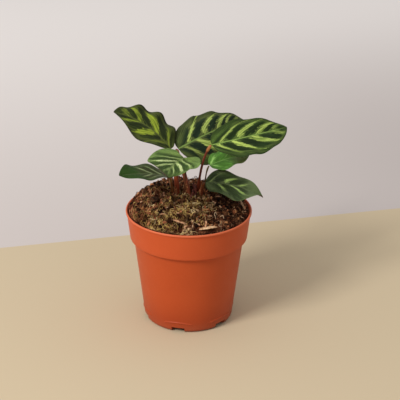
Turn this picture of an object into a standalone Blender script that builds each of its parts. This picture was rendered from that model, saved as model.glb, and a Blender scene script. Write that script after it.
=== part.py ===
"""Potted calathea: a young prayer plant with seven painted leaves in a round moulded nursery pot.

Metres, +Z up. The origin is the centre of the pot's floor, on the surface that the pot stands on. -Y is the
front and +X the right-hand side.
"""

import math

import bmesh
import bpy
import numpy as np
from mathutils import Vector
from mathutils.bvhtree import BVHTree

# Clear gap between pieces that touch, and the distance within which points are one
GAP = 0.0003
MERGE = 0.000002

# Pot, a moulded shell: lip, tapered collar, step, tapered wall, rounded foot, flat floor
POT_HEIGHT = 0.1002
RIM_RADIUS = 0.054
COLLAR_TOP_RADIUS = 0.0531
COLLAR_FOOT_RADIUS = 0.0505
STEP_HEIGHT = 0.0755
STEP_RADIUS = 0.0473
FLOOR_RADIUS = 0.0382
FOOT_ROUND = 0.0035
WALL = 0.0015
LIP_HEIGHT = 0.002
EDGE_ROUND = 0.0007
LIP_DRAFT = 0.0004
LEDGE_RISE = 0.0004
POT_STEPS = 60

# Drain notches round the foot, and the moulded brow above each
NOTCHES = 6
FIRST_NOTCH = math.radians(257)
NOTCH_WIDTH = 0.0115
NOTCH_HEIGHT = 0.0044
NOTCH_SHOULDER = 0.0008
NOTCH_DEPTH = 0.0085
NOTCH_OVERCUT = 0.01
BROW_WIDTH = 0.024
BROW_RISE = (0.0080, 0.0095)
BROW_RADIUS = 0.0007
BROW_SUNK = 0.0003
BROW_POINTS = 9

# Potting mix: a mound that leans up towards the back, with lumps as relief
SOIL_EDGE = 0.0985
SOIL_RADIUS = 0.051
SOIL_MOUND = 0.012
MOUND_POWER = 4.5
SOIL_LEAN = (-0.0045, 0.001)
LEAN_POWER = 6
SOIL_RINGS = 16
SOIL_STEPS = 64
LUMPS = 260
LUMP_RADIUS = (0.0020, 0.0055)
LUMP_HEIGHT = (0.0008, 0.0034)
LUMP_SEED = 11
EDGE_RELIEF = 0.15
EDGE_FADE = 12
HOLE_DEPTH = 0.012
HOLE_CLEAR = 0.001
HOLE_POINTS = 6

# Leaf blades
BLADE_THICKNESS = 0.0007
BLADE_STEPS = (20, 8)
BLADE_BASE = 0.0009
ROW_CROWDING = 0.08
MIDRIB_STEPS = 400
CURL_WIDTH = 0.02
LOBE_START = 0.03
LOBE_REACH = 0.35
OUTLINE_BASE = 0.52
OUTLINE_TIP = 0.78
STALK_SIDES = 2
STALK_LEAN = 0.3
STALK_POINTS = 13
STALK_END = 0.5
PULVINUS_LENGTH = 0.007
PULVINUS_SWELL = 1.3

# Each leaf: where the blade starts, how its midrib runs (degrees), and each half (left, right) as seen from
# its base: half-width, lift of the half (degrees), margin wave's height, number and start. The stalk's foot is
# its place on the soil, with its radius at foot and top, the share that the sheath covers, and how far it
# keeps its first and its last direction.
LEAVES = {
    "a": dict(
        base=(-0.0157, 0.009, 0.1513), heading=143.5, sweep=42.5, rise=43.5, droop=29, roll=-3, twist=-27,
        length=0.0593, width=(0.018, 0.021), lift=(9.5, 5.5), curl=0.0018, lobe=-0.0015,
        wave=(0.004, 0.0027), waves=(1.05, 3.9), start=(0.24, 0.48), scallop=(0.0006, 0.0009),
        foot=(-0.0096, 0.005), stalk=(0.0023, 0.0013, 1.0), reach=(0.65, 0.15),
    ),
    "b": dict(
        base=(-0.0094, 0.017, 0.1484), heading=39.5, sweep=2, rise=13, droop=12, roll=34, twist=18,
        length=0.0745, width=(0.020, 0.026), lift=(7.5, 0), curl=0.0036, lobe=0.0,
        wave=(0.0021, 0.002), waves=(3.9, 3.1), start=(0.79, 0.3), scallop=(-0.0002, 0.0006),
        foot=(0.0005, 0.0005), stalk=(0.0022, 0.0013, 1.0), reach=(0.8, 0.12),
    ),
    "c": dict(
        base=(0.0191, -0.0028, 0.1601), heading=22, sweep=14, rise=5, droop=6, roll=28, twist=8,
        length=0.074, width=(0.019, 0.0225), lift=(5.5, 13), curl=0.0012, lobe=0.0005,
        wave=(0.0014, 0.0014), waves=(2.8, 3.5), start=(0.18, 0.02), scallop=(0.0001, 0.0003),
        foot=(0.0073, 0.006), stalk=(0.0024, 0.001, 0.45), reach=(0.45, 0.25),
    ),
    "d": dict(
        base=(-0.004, -0.006, 0.1495), heading=242, sweep=31.5, rise=7, droop=2, roll=-6.5, twist=-9.5,
        length=0.0585, width=(0.0225, 0.0215), lift=(17, 11), curl=-0.0005, lobe=0.0055,
        wave=(-0.0012, 0.0042), waves=(2.7, 0.95), start=(-0.23, 0.28), scallop=(0.0008, 0.0004),
        foot=(-0.0048, -0.001), stalk=(0.0012, 0.0006, 0.5), reach=(0.45, 0.25),
    ),
    "e": dict(
        base=(-0.0177, -0.004, 0.1323), heading=203, sweep=20, rise=16.5, droop=7, roll=-1, twist=-25.5,
        length=0.0485, width=(0.014, 0.0155), lift=(16, 5), curl=0.001, lobe=0.0027,
        wave=(0.0011, 0.0021), waves=(2.2, 1.75), start=(0.69, 0.81), scallop=(0.0005, 0.0005),
        foot=(-0.0138, 0.0025), stalk=(0.0015, 0.0008, 0.6), reach=(0.45, 0.25),
    ),
    "f": dict(
        base=(0.014, -0.006, 0.1271), heading=-8, sweep=22, rise=5, droop=42, roll=28, twist=-21,
        length=0.0525, width=(0.013, 0.019), lift=(18, 11), curl=0.0, lobe=-0.0006,
        wave=(0.0022, 0.0043), waves=(1.53, 1.5), start=(0.95, 0.98), scallop=(0.0006, 0.0006),
        foot=(0.0115, 0.003), stalk=(0.0018, 0.0009, 0.8), reach=(0.45, 0.25),
    ),
    "g": dict(
        base=(0.0175, 0.0044, 0.1385), heading=19.5, sweep=2, rise=20, droop=26, roll=16, twist=0,
        length=0.0365, width=(0.0125, 0.013), lift=(8.5, 10), curl=0.0016, lobe=0.0005,
        wave=(0.0013, 0.0016), waves=(2.9, 1.8), start=(0.77, 0.36), scallop=(0.0004, 0.0006),
        foot=(0.0135, 0.011), stalk=(0.0012, 0.0006, 0.5), reach=(0.45, 0.25),
    ),
}

# Bits of bark on the mix: length, width, thickness, place of the middle, turn about Z and tilt (degrees)
BARK = {
    "wood_stick": dict(size=(0.014, 0.0016, 0.0014), at=(0.0455, 0.0005), turn=113, tilt=-22),
    "wood_chip": dict(size=(0.016, 0.0045, 0.0012), at=(0.0165, -0.0445), turn=20, tilt=0),
}
BARK_SAG = 0.0006
BARK_DROP = 0.03


def clear_scene():
    for obj in list(bpy.data.objects):
        bpy.data.objects.remove(obj, do_unlink=True)


def make_collection(name):
    found = bpy.data.collections.new(name)
    bpy.context.scene.collection.children.link(found)
    return found


def material(name, colour, roughness):
    """A Principled material; colour is linear RGB."""
    made = bpy.data.materials.new(name)
    made.use_nodes = True
    shader = made.node_tree.nodes["Principled BSDF"]
    shader.inputs["Base Color"].default_value = (*colour, 1)
    shader.inputs["Roughness"].default_value = roughness
    shader.inputs["Metallic"].default_value = 0
    made.diffuse_color = (*colour, 1)
    return made


def mesh_object(name, bm, collection, finish=None):
    mesh = bpy.data.meshes.new(name)
    bm.to_mesh(mesh)
    bm.free()
    obj = bpy.data.objects.new(name, mesh)
    collection.objects.link(obj)
    if finish:
        mesh.materials.append(finish)
    return obj


def applied(obj):
    """The object with its modifiers, or its curve, turned into a plain mesh whose doubles are merged."""
    graph = bpy.context.evaluated_depsgraph_get()
    mesh = bpy.data.meshes.new_from_object(obj.evaluated_get(graph))
    bm = bmesh.new()
    bm.from_mesh(mesh)
    bpy.data.meshes.remove(mesh)
    bmesh.ops.remove_doubles(bm, verts=bm.verts, dist=MERGE)
    name, collection, finish = obj.name, obj.users_collection[0], obj.active_material
    bpy.data.objects.remove(obj, do_unlink=True)
    return mesh_object(name, bm, collection, finish)


def turned(name, profile, steps, collection, finish):
    """A solid of revolution: a profile of (radius, height) that starts and ends on the axis."""
    bm = bmesh.new()
    points = [bm.verts.new((radius, 0, height)) for radius, height in profile]
    for first, second in zip(points, points[1:]):
        bm.edges.new((first, second))
    obj = mesh_object(name, bm, collection, finish)
    screw = obj.modifiers.new("Screw", "SCREW")
    screw.steps = screw.render_steps = steps
    screw.use_merge_vertices = True
    screw.merge_threshold = MERGE
    return obj


def arc(centre, radius, first, last, points):
    """Points of a round corner in the profile's plane, angles in degrees."""
    angles = np.radians(np.linspace(first, last, points))
    return [(centre[0] + radius * math.cos(a), centre[1] + radius * math.sin(a)) for a in angles]


def tube(name, points, radii, collection, finish):
    """A round bar along points, with a radius at each and filled ends."""
    curve = bpy.data.curves.new(name, "CURVE")
    curve.dimensions = "3D"
    curve.bevel_depth = 1
    curve.bevel_resolution = STALK_SIDES
    curve.use_fill_caps = True
    spline = curve.splines.new("POLY")
    spline.points.add(len(points) - 1)
    for place, point, radius in zip(spline.points, points, radii):
        place.co = (*point, 1)
        place.radius = radius
    obj = bpy.data.objects.new(name, curve)
    collection.objects.link(obj)
    curve.materials.append(finish)
    return obj


def boolean(obj, others, operation):
    """Adds a Boolean with every object of a collection."""
    modifier = obj.modifiers.new(operation.title(), "BOOLEAN")
    modifier.operation = operation
    modifier.operand_type = "COLLECTION"
    modifier.collection = others


def as_cutter(obj):
    obj.hide_render = True
    obj.display_type = "WIRE"


def wall_radius(height):
    """Outer radius of the tapered wall under the step."""
    return FLOOR_RADIUS + (STEP_RADIUS - FLOOR_RADIUS) * height / STEP_HEIGHT


def pot_profile():
    """Outer side down from the lip, the floor, then back up the inner side."""
    outer = [
        *arc((RIM_RADIUS - EDGE_ROUND, POT_HEIGHT - EDGE_ROUND), EDGE_ROUND, 90, 0, 4),
        (RIM_RADIUS, POT_HEIGHT - LIP_HEIGHT + LIP_DRAFT),
        (COLLAR_TOP_RADIUS, POT_HEIGHT - LIP_HEIGHT),
        *arc((COLLAR_FOOT_RADIUS - EDGE_ROUND, STEP_HEIGHT + EDGE_ROUND), EDGE_ROUND, 0, -90, 3),
        (STEP_RADIUS, STEP_HEIGHT + LEDGE_RISE),
    ]
    corner = (wall_radius(FOOT_ROUND) - FOOT_ROUND, FOOT_ROUND)
    outer += [*arc(corner, FOOT_ROUND, 0, -90, 5), (0, 0)]
    inner = [
        (0, WALL),
        (corner[0], WALL),
        (wall_radius(FOOT_ROUND) - WALL, FOOT_ROUND + WALL / 2),
        (STEP_RADIUS - WALL, STEP_HEIGHT + 2 * WALL),
        (COLLAR_FOOT_RADIUS - WALL, STEP_HEIGHT + 2 * WALL),
        (COLLAR_TOP_RADIUS - WALL, POT_HEIGHT - LIP_HEIGHT),
        (RIM_RADIUS - WALL - LIP_DRAFT, POT_HEIGHT - EDGE_ROUND),
        (RIM_RADIUS - WALL, POT_HEIGHT),
    ]
    return inner + outer


def notch_cutter(angle, cutters):
    """A low arch, wider than high, cut through the foot's corner from outside."""
    half = NOTCH_WIDTH / 2
    shoulder = NOTCH_HEIGHT - NOTCH_SHOULDER
    profile = [(-half, -NOTCH_HEIGHT), (-half, shoulder), (NOTCH_SHOULDER - half, NOTCH_HEIGHT)]
    profile += [(-x, z) for x, z in reversed(profile)]
    bm = bmesh.new()
    face = bm.faces.new([bm.verts.new((FLOOR_RADIUS - NOTCH_DEPTH, x, z)) for x, z in profile])
    moved = bmesh.ops.extrude_face_region(bm, geom=[face])["geom"]
    outer = [piece for piece in moved if isinstance(piece, bmesh.types.BMVert)]
    bmesh.ops.translate(bm, vec=(NOTCH_DEPTH + NOTCH_OVERCUT, 0, 0), verts=outer)
    bmesh.ops.recalc_face_normals(bm, faces=bm.faces)
    obj = mesh_object("notch_cutter", bm, cutters)
    obj.rotation_euler.z = angle
    as_cutter(obj)


def notch_brow(angle, brows, finish):
    """The raised arch above a notch: a thin bar half sunk in the wall, along an arch drawn on the wall."""
    points = []
    for t in np.linspace(-1, 1, BROW_POINTS):
        height = BROW_RISE[0] + (BROW_RISE[1] - BROW_RISE[0]) * (1 - t * t)
        turn = angle + t * BROW_WIDTH / 2 / FLOOR_RADIUS
        radius = wall_radius(height) - BROW_SUNK
        points.append((radius * math.cos(turn), radius * math.sin(turn), height))
    bar = applied(tube("notch_brow", points, [BROW_RADIUS] * len(points), brows, finish))
    as_cutter(bar)


def make_pot(parts, cutters, finish):
    brows = make_collection("brows")
    pot = turned("pot", pot_profile(), POT_STEPS, parts, finish)
    for index in range(NOTCHES):
        angle = FIRST_NOTCH + index * math.tau / NOTCHES
        notch_cutter(angle, cutters)
        notch_brow(angle, brows, finish)
    boolean(pot, brows, "UNION")
    boolean(pot, cutters, "DIFFERENCE")


def soil_height(x, y):
    """Height of the potting mix: a flat-topped mound, higher at the back left, plus seeded round lumps."""
    x, y = np.asarray(x, float), np.asarray(y, float)
    reach = np.clip(np.hypot(x, y) / (COLLAR_TOP_RADIUS - WALL), 0, 1)
    lean = (SOIL_LEAN[0] * x + SOIL_LEAN[1] * y) / RIM_RADIUS
    height = SOIL_EDGE + SOIL_MOUND * (1 - reach**MOUND_POWER) + lean * (1 - reach**LEAN_POWER)
    rng = np.random.default_rng(LUMP_SEED)
    relief = np.zeros_like(height)
    for _ in range(LUMPS):
        turn, out = rng.uniform(0, math.tau), RIM_RADIUS * math.sqrt(rng.uniform(0, 1))
        size, rise = rng.uniform(*LUMP_RADIUS), rng.uniform(*LUMP_HEIGHT)
        far = np.hypot(x - out * math.cos(turn), y - out * math.sin(turn)) / size
        relief = np.maximum(relief, rise * np.clip(1 - far * far, 0, 1))
    return height + relief * np.clip((1 - reach) * EDGE_FADE, EDGE_RELIEF, 1)


def soil_profile():
    """The pot's inner side, a clear gap inside it, and rings across the top, from the axis out."""
    top = [(SOIL_RADIUS * ring / SOIL_RINGS, SOIL_EDGE) for ring in range(SOIL_RINGS + 1)]
    inside = WALL + GAP
    corner = wall_radius(FOOT_ROUND)
    side = [
        (COLLAR_FOOT_RADIUS - inside, STEP_HEIGHT + 2 * WALL + GAP),
        (STEP_RADIUS - inside, STEP_HEIGHT + 2 * WALL + GAP),
        (corner - inside, FOOT_ROUND + WALL / 2),
        (corner - FOOT_ROUND - GAP, WALL + GAP),
        (0, WALL + GAP),
    ]
    return top + side


def make_soil(parts, holes, finish):
    soil = applied(turned("soil", soil_profile(), SOIL_STEPS, parts, finish))
    for vertex in soil.data.vertices:
        on_top = vertex.co.z > SOIL_EDGE - MERGE
        at_wall = math.hypot(vertex.co.x, vertex.co.y) > SOIL_RADIUS - MERGE
        if on_top and not at_wall:
            vertex.co.z = float(soil_height(vertex.co.x, vertex.co.y))
    boolean(soil, holes, "DIFFERENCE")
    return soil


def outline(u):
    """Share of the half-width at u along the blade, round near the base and drawn out to the tip."""
    peak = OUTLINE_BASE / (OUTLINE_BASE + OUTLINE_TIP)
    highest = peak**OUTLINE_BASE * (1 - peak) ** OUTLINE_TIP
    return u**OUTLINE_BASE * (1 - u) ** OUTLINE_TIP / highest


def midrib(leaf, u):
    """Point, forward, left and up directions at each u: the heading and the pitch change evenly along it."""
    middles = (np.arange(MIDRIB_STEPS) + 0.5) / MIDRIB_STEPS

    def directions(t):
        heading = np.radians(leaf["heading"] + leaf["sweep"] * t)
        pitch = np.radians(leaf["rise"] - leaf["droop"] * t)
        forward = [np.cos(pitch) * np.cos(heading), np.cos(pitch) * np.sin(heading), np.sin(pitch)]
        flat = [-np.sin(heading), np.cos(heading), np.zeros_like(heading)]
        return np.stack(forward, -1), np.stack(flat, -1)

    steps = directions(middles)[0] * leaf["length"] / MIDRIB_STEPS
    run = np.concatenate([np.zeros((1, 3)), np.cumsum(steps, 0)])
    ends = np.linspace(0, 1, MIDRIB_STEPS + 1)
    point = np.stack([np.interp(u, ends, run[:, axis]) for axis in range(3)], -1)
    forward, flat = directions(u)
    over = np.cross(forward, flat)
    roll = np.radians(leaf["roll"] + leaf["twist"] * u)[..., None]
    left = np.cos(roll) * flat + np.sin(roll) * over
    up = np.cos(roll) * over - np.sin(roll) * flat
    return point + np.array(leaf["base"]), forward, left, up


def blade_points(leaf, u, v):
    """Points of the blade at u along it and v across it, from -1 at the right margin to 1 at the left.

    Each half lifts by its own angle, curls down towards the margin and waves up and down along it.
    """
    point, forward, left, up = midrib(leaf, u)

    def half(key):
        return np.where(v >= 0, leaf[key][0], leaf[key][1])

    reach = np.abs(v)
    fade = np.sqrt(np.sin(math.pi * np.clip(u, 0, 1)))
    turn = math.tau * (half("waves") * u + half("start"))
    width = half("width") * outline(u) + half("scallop") * np.cos(turn) * fade * reach
    width = width + BLADE_BASE * (1 - u) ** 6
    lift = np.radians(half("lift"))
    across = reach * width
    rise = across * np.sin(lift) - leaf["curl"] * reach**2 * width / CURL_WIDTH
    rise = rise + half("wave") * np.sin(turn) * fade * reach**2
    back = leaf["lobe"] * reach**2 * np.clip(1 - u / LOBE_REACH, 0, 1) ** 2 * np.clip(u / LOBE_START, 0, 1)
    sideways = np.sign(v) * across * np.cos(lift)
    return point + sideways[..., None] * left + rise[..., None] * up - back[..., None] * forward


def make_blade(letter, leaf, parts, finish):
    """A thin leaf: a grid of triangles laid on the blade's formula, its rows closer at both ends, thickened."""
    bm = bmesh.new()
    bmesh.ops.create_grid(bm, x_segments=BLADE_STEPS[0], y_segments=BLADE_STEPS[1], size=1)
    places = np.array([vertex.co[:2] for vertex in bm.verts])
    even = np.clip((places[:, 0] + 1) / 2, 0, 1)
    u = even - ROW_CROWDING * np.sin(math.tau * even)
    for vertex, point in zip(bm.verts, blade_points(leaf, u, places[:, 1])):
        vertex.co = point
    bmesh.ops.remove_doubles(bm, verts=bm.verts, dist=MERGE)
    bmesh.ops.triangulate(bm, faces=bm.faces, quad_method="SHORT_EDGE")
    obj = mesh_object("leaf_" + letter, bm, parts, finish)
    shell = obj.modifiers.new("Solidify", "SOLIDIFY")
    shell.thickness = BLADE_THICKNESS
    shell.offset = 0


def stalk_path(leaf):
    """A cubic curve from below the soil up to just short of the blade, arriving along the bent joint."""
    foot = np.array([*leaf["foot"], float(soil_height(*leaf["foot"]))])
    _, forward, _, _ = midrib(leaf, np.array([0.0]))
    up = np.array([0.0, 0.0, 1.0])
    arrive = up + forward[0]
    arrive = arrive / np.linalg.norm(arrive)
    top = np.array(leaf["base"]) - forward[0] * (GAP + leaf["stalk"][1] * STALK_END)
    length = np.linalg.norm(top - foot)
    leave = up + (top - foot) / length * STALK_LEAN
    leave = leave / np.linalg.norm(leave)
    start = foot - leave * (HOLE_DEPTH - HOLE_CLEAR)
    first = start + leave * length * leaf["reach"][0]
    last = top - arrive * length * leaf["reach"][1]
    t = np.linspace(0, 1, STALK_POINTS)[:, None]
    return (1 - t) ** 3 * start + 3 * (1 - t) ** 2 * t * first + 3 * (1 - t) * t**2 * last + t**3 * top


def stalk_radii(leaf, path):
    """Thick at the sheathed foot, slim above it, and swollen at the joint just under the blade."""
    along = np.concatenate([[0], np.cumsum(np.linalg.norm(np.diff(path, axis=0), axis=1))])
    share = along / along[-1]
    foot, top, sheath = leaf["stalk"]
    radii = top + (foot - top) * np.sqrt(np.clip(1 - share / sheath, 0, 1))
    swell = np.clip((along - along[-1] + PULVINUS_LENGTH) / PULVINUS_LENGTH, 0, 1)
    radii = radii * (1 + (PULVINUS_SWELL - 1) * np.sin(math.pi * swell))
    radii[-1] *= STALK_END
    return radii


def make_stalk(letter, leaf, parts, holes, finish):
    path = stalk_path(leaf)
    radii = stalk_radii(leaf, path)
    tube("petiole_" + letter, path, radii, parts, finish)
    down = path[0] - path[1]
    floor = path[0] + down / np.linalg.norm(down) * HOLE_CLEAR
    route = np.concatenate([[floor], path[:HOLE_POINTS]])
    wide = np.concatenate([[radii[0]], radii[:HOLE_POINTS]]) + GAP
    as_cutter(applied(tube("hole_" + letter, route, wide, holes, finish)))


def settle(obj, ground):
    """Lowers a loose piece onto the ground until the least height between the two is the usual clear gap."""
    bpy.context.view_layer.update()
    points = [obj.matrix_world @ vertex.co for vertex in obj.data.vertices]
    piece = BVHTree.FromPolygons(points, [list(face.vertices) for face in obj.data.polygons])
    floor = BVHTree.FromPolygons(
        [vertex.co for vertex in ground.data.vertices], [list(face.vertices) for face in ground.data.polygons]
    )
    above = Vector((0, 0, POT_HEIGHT))
    drops = []
    for point in points:
        hit = floor.ray_cast(point + above, -above)[0]
        if hit:
            drops.append(point.z - hit.z)
    for vertex in ground.data.vertices:
        hit = piece.ray_cast(vertex.co, above)[0]
        if hit:
            drops.append(hit.z - vertex.co.z)
    obj.location.z -= min(drops) - GAP


def make_bark(name, bit, soil, parts, finish):
    """A splinter of bark: a bar tapered to its ends and bent a little."""
    bm = bmesh.new()
    bmesh.ops.create_cube(bm, size=1)
    long_edges = [e for e in bm.edges if abs((e.verts[0].co - e.verts[1].co).x) > 0.5]
    bmesh.ops.subdivide_edges(bm, edges=long_edges, cuts=5, use_grid_fill=True)
    for vertex in bm.verts:
        taper = 1 - 0.55 * (2 * abs(vertex.co.x)) ** 2
        bend = BARK_SAG * (1 - (2 * vertex.co.x) ** 2)
        vertex.co.x *= bit["size"][0]
        vertex.co.y *= bit["size"][1] * taper
        vertex.co.z = vertex.co.z * bit["size"][2] * taper + bend
    obj = mesh_object(name, bm, parts, finish)
    obj.rotation_euler = (0, math.radians(bit["tilt"]), math.radians(bit["turn"]))
    obj.location = (*bit["at"], POT_HEIGHT + BARK_DROP)
    settle(obj, soil)


def main():
    clear_scene()
    parts = make_collection("potted_calathea")
    cutters = make_collection("pot_cutters")
    holes = make_collection("soil_holes")
    terracotta = material("terracotta_plastic", (0.56, 0.11, 0.035), 0.45)
    mix = material("potting_mix", (0.055, 0.028, 0.014), 0.95)
    green = material("leaf_green", (0.035, 0.11, 0.022), 0.4)
    red_brown = material("petiole_red_brown", (0.12, 0.022, 0.012), 0.4)
    tan = material("bark_tan", (0.42, 0.26, 0.13), 0.8)
    make_pot(parts, cutters, terracotta)
    for letter, leaf in LEAVES.items():
        make_blade(letter, leaf, parts, green)
        make_stalk(letter, leaf, parts, holes, red_brown)
    soil = make_soil(parts, holes, mix)
    for name, bit in BARK.items():
        make_bark(name, bit, soil, parts, tan)


main()
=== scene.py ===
"""Looks of the potted calathea: a young prayer plant in a terracotta-coloured pot, built round its solids.

Metres, +Z up, -Y the front, the origin at the centre of the pot's floor. The sections follow the plant as it
is potted: pot, potting mix, what lies in and on the mix, stalks and blades, then the photographer's set.
"""

import math
import bpy
import numpy as np
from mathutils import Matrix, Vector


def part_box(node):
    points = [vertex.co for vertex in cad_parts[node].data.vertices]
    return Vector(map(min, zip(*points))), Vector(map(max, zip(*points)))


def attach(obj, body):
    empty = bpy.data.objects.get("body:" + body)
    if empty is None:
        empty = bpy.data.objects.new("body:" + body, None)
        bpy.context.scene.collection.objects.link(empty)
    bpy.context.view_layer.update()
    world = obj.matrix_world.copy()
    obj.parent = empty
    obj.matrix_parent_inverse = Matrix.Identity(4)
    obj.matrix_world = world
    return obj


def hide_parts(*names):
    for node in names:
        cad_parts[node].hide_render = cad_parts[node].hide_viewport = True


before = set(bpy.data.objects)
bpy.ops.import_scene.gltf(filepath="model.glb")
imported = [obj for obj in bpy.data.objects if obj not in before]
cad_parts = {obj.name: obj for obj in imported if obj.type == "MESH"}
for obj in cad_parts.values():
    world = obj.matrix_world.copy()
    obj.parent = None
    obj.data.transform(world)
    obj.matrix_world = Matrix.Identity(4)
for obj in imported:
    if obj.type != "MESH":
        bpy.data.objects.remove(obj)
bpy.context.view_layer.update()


# The pot. A thin round nursery pot moulded in terracotta-coloured plastic, with a lip, a collar, a step, a
# tapered wall and six drain notches through its foot, each under a raised brow. It is one profile carried
# round the axis, left open at the notches and pushed out at the brows.

pot_low, pot_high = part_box("pot")
RIM_HEIGHT = pot_high[2]
RIM_RADIUS = (pot_high[0] - pot_low[0]) / 2
COLLAR_TOP_RADIUS = 0.0531
COLLAR_FOOT_RADIUS = 0.0505
STEP_HEIGHT = 0.0755
STEP_RADIUS = 0.0473
FLOOR_RADIUS = 0.0382
FLOOR_ROWS = 5
FIRST_RING = 0.002
FOOT_ROUND = 0.0035
WALL = 0.0015
LIP_HEIGHT = 0.002
LIP_DRAFT = 0.0004
LEDGE_RISE = 0.0004
EDGE_ROUND = 0.0007
NOTCHES = 6
FIRST_NOTCH = math.radians(257)
NOTCH_TURNS = np.mod(FIRST_NOTCH + np.arange(NOTCHES) * math.tau / NOTCHES, math.tau)
NOTCH_WIDTH = 0.0115
NOTCH_HALF = NOTCH_WIDTH / 2 / FLOOR_RADIUS
NOTCH_HEIGHT = 0.0044
NOTCH_DEPTH = 0.0085
NOTCH_ROWS = 16
ABOVE_NOTCH = 0.008
BROW_WIDTH = 0.024
BROW_RISE = (0.0080, 0.0095)
BROW_HEIGHT = 0.0005
BROW_RADIUS = 0.0008
BROW_ROWS = (0.012, 0.006)
BROW_END = 1.05
BROW_FADE = 8
POT_COLUMNS = 360
CLOSE_COLUMN = 0.3
POT_CREASE = 38
POT_TONES = ((0.50, 0.074, 0.0165), (0.545, 0.086, 0.020))
SPECK_TONE = (0.58, 0.105, 0.032)
# Painted highlight along the top of the lip.
LIP_HIGHLIGHT_TONE = (0.62, 0.135, 0.050)
DUST_TONE = (0.50, 0.13, 0.055)
# Painted shade towards the foot and painted light on the collar.
PAINTED_FOOT_SHADE = (0.80, 0.74, 0.80)
PAINTED_COLLAR_LIGHT = (1.13, 1.16, 1.32)
LIP_HIGHLIGHT_BAND = (0.0022, 0.0008)
DUST_HEIGHT = 0.012
PAINTED_SHADE_HEIGHT = 0.035
PAINTED_COLLAR_BAND = (0.070, 0.080)


def arc(middle, radius, first, last, count):
    """A round corner: the middle plus the radius times cosine and sine of evenly spaced angles in degrees."""
    turn = np.radians(np.linspace(first, last, count))
    return np.array(middle) + radius * np.stack([np.cos(turn), np.sin(turn)], -1)


def straight(start, end, count):
    """Evenly spaced points from the start to just short of the end."""
    return np.linspace(start, end, count, endpoint=False)


def run_along(points):
    """How far along a line of straight stretches each of its points lies."""
    return np.concatenate([[0], np.cumsum(np.linalg.norm(np.diff(points, axis=0), axis=1))])


def evenly(points, count):
    """Points at even steps along a line of straight stretches, both ends included."""
    points = np.array(points)
    run = run_along(points)
    place = np.linspace(0, run[-1], count)
    return np.stack([np.interp(place, run, points[:, axis]) for axis in range(2)], -1)


def wall_radius(height):
    """Outer radius of the tapered wall: it grows evenly from the floor to the step."""
    return FLOOR_RADIUS + (STEP_RADIUS - FLOOR_RADIUS) * height / STEP_HEIGHT


def pot_profile():
    """Points of (radius, height), and where the four rows that bound a notch are among them.

    The profile runs out along the inner floor, up the inner side, over the lip, down the outer side and back
    under the floor. The stretches that a notch cuts, inside and outside, have the same number of points.
    """
    corner = wall_radius(FOOT_ROUND) - FOOT_ROUND
    back = FLOOR_RADIUS - NOTCH_DEPTH
    low, high = STEP_HEIGHT + 2 * WALL, RIM_HEIGHT - LIP_HEIGHT
    upper, lower = BROW_ROWS
    under_lip = (RIM_RADIUS - 2 * EDGE_ROUND, RIM_HEIGHT - EDGE_ROUND / 2)
    inner_foot = [
        (back, WALL),
        (corner, WALL),
        (wall_radius(FOOT_ROUND) - WALL, FOOT_ROUND + WALL / 2),
        (wall_radius(NOTCH_HEIGHT) - WALL, NOTCH_HEIGHT),
    ]
    outer_foot = [
        (wall_radius(NOTCH_HEIGHT), NOTCH_HEIGHT),
        *arc((corner, FOOT_ROUND), FOOT_ROUND, 0, -90, 12),
        (back, 0),
    ]
    inside = [
        straight((FIRST_RING, WALL), (back, WALL), FLOOR_ROWS),
        evenly(inner_foot, NOTCH_ROWS + 1),
        straight((wall_radius(ABOVE_NOTCH) - WALL, ABOVE_NOTCH), (STEP_RADIUS - WALL, STEP_HEIGHT), 6),
        straight((STEP_RADIUS - WALL, low), (COLLAR_FOOT_RADIUS - WALL, low), 3),
        straight((COLLAR_FOOT_RADIUS - WALL, low), (COLLAR_TOP_RADIUS - WALL, high), 6),
        straight((COLLAR_TOP_RADIUS - WALL, high), under_lip, 5),
    ]
    outside = [
        arc((RIM_RADIUS - EDGE_ROUND, RIM_HEIGHT - EDGE_ROUND), EDGE_ROUND, 150, 0, 12),
        straight((RIM_RADIUS, high + LIP_DRAFT), (COLLAR_TOP_RADIUS, high), 4),
        straight((COLLAR_TOP_RADIUS, high), (COLLAR_FOOT_RADIUS, STEP_HEIGHT + EDGE_ROUND), 12),
        arc((COLLAR_FOOT_RADIUS - EDGE_ROUND, STEP_HEIGHT + EDGE_ROUND), EDGE_ROUND, 0, -90, 7),
        straight((STEP_RADIUS + LEDGE_RISE, STEP_HEIGHT), (STEP_RADIUS, STEP_HEIGHT - LEDGE_RISE), 2),
        straight((STEP_RADIUS, STEP_HEIGHT - LEDGE_RISE), (wall_radius(upper), upper), 24),
        straight((wall_radius(upper), upper), (wall_radius(lower), lower), 26),
        straight((wall_radius(lower), lower), (wall_radius(NOTCH_HEIGHT), NOTCH_HEIGHT), 3),
    ]
    before = sum(len(stretch) for stretch in inside + outside)
    profile = [*inside, *outside, evenly(outer_foot, NOTCH_ROWS + 1), straight((back * 0.9, 0), (0, 0), 6)]
    return np.concatenate(profile), (FLOOR_ROWS, FLOOR_ROWS + NOTCH_ROWS, before, before + NOTCH_ROWS)


def pot_angles():
    """Even angles all round, without those next to a notch's side, and the sides of every notch."""
    even = np.linspace(0, math.tau, POT_COLUMNS, endpoint=False)
    sides = np.concatenate([NOTCH_TURNS - NOTCH_HALF, NOTCH_TURNS + NOTCH_HALF])
    clear = np.abs(even[:, None] - sides).min(1) > CLOSE_COLUMN * math.tau / POT_COLUMNS
    return np.sort(np.concatenate([even[clear], sides]))


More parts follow.
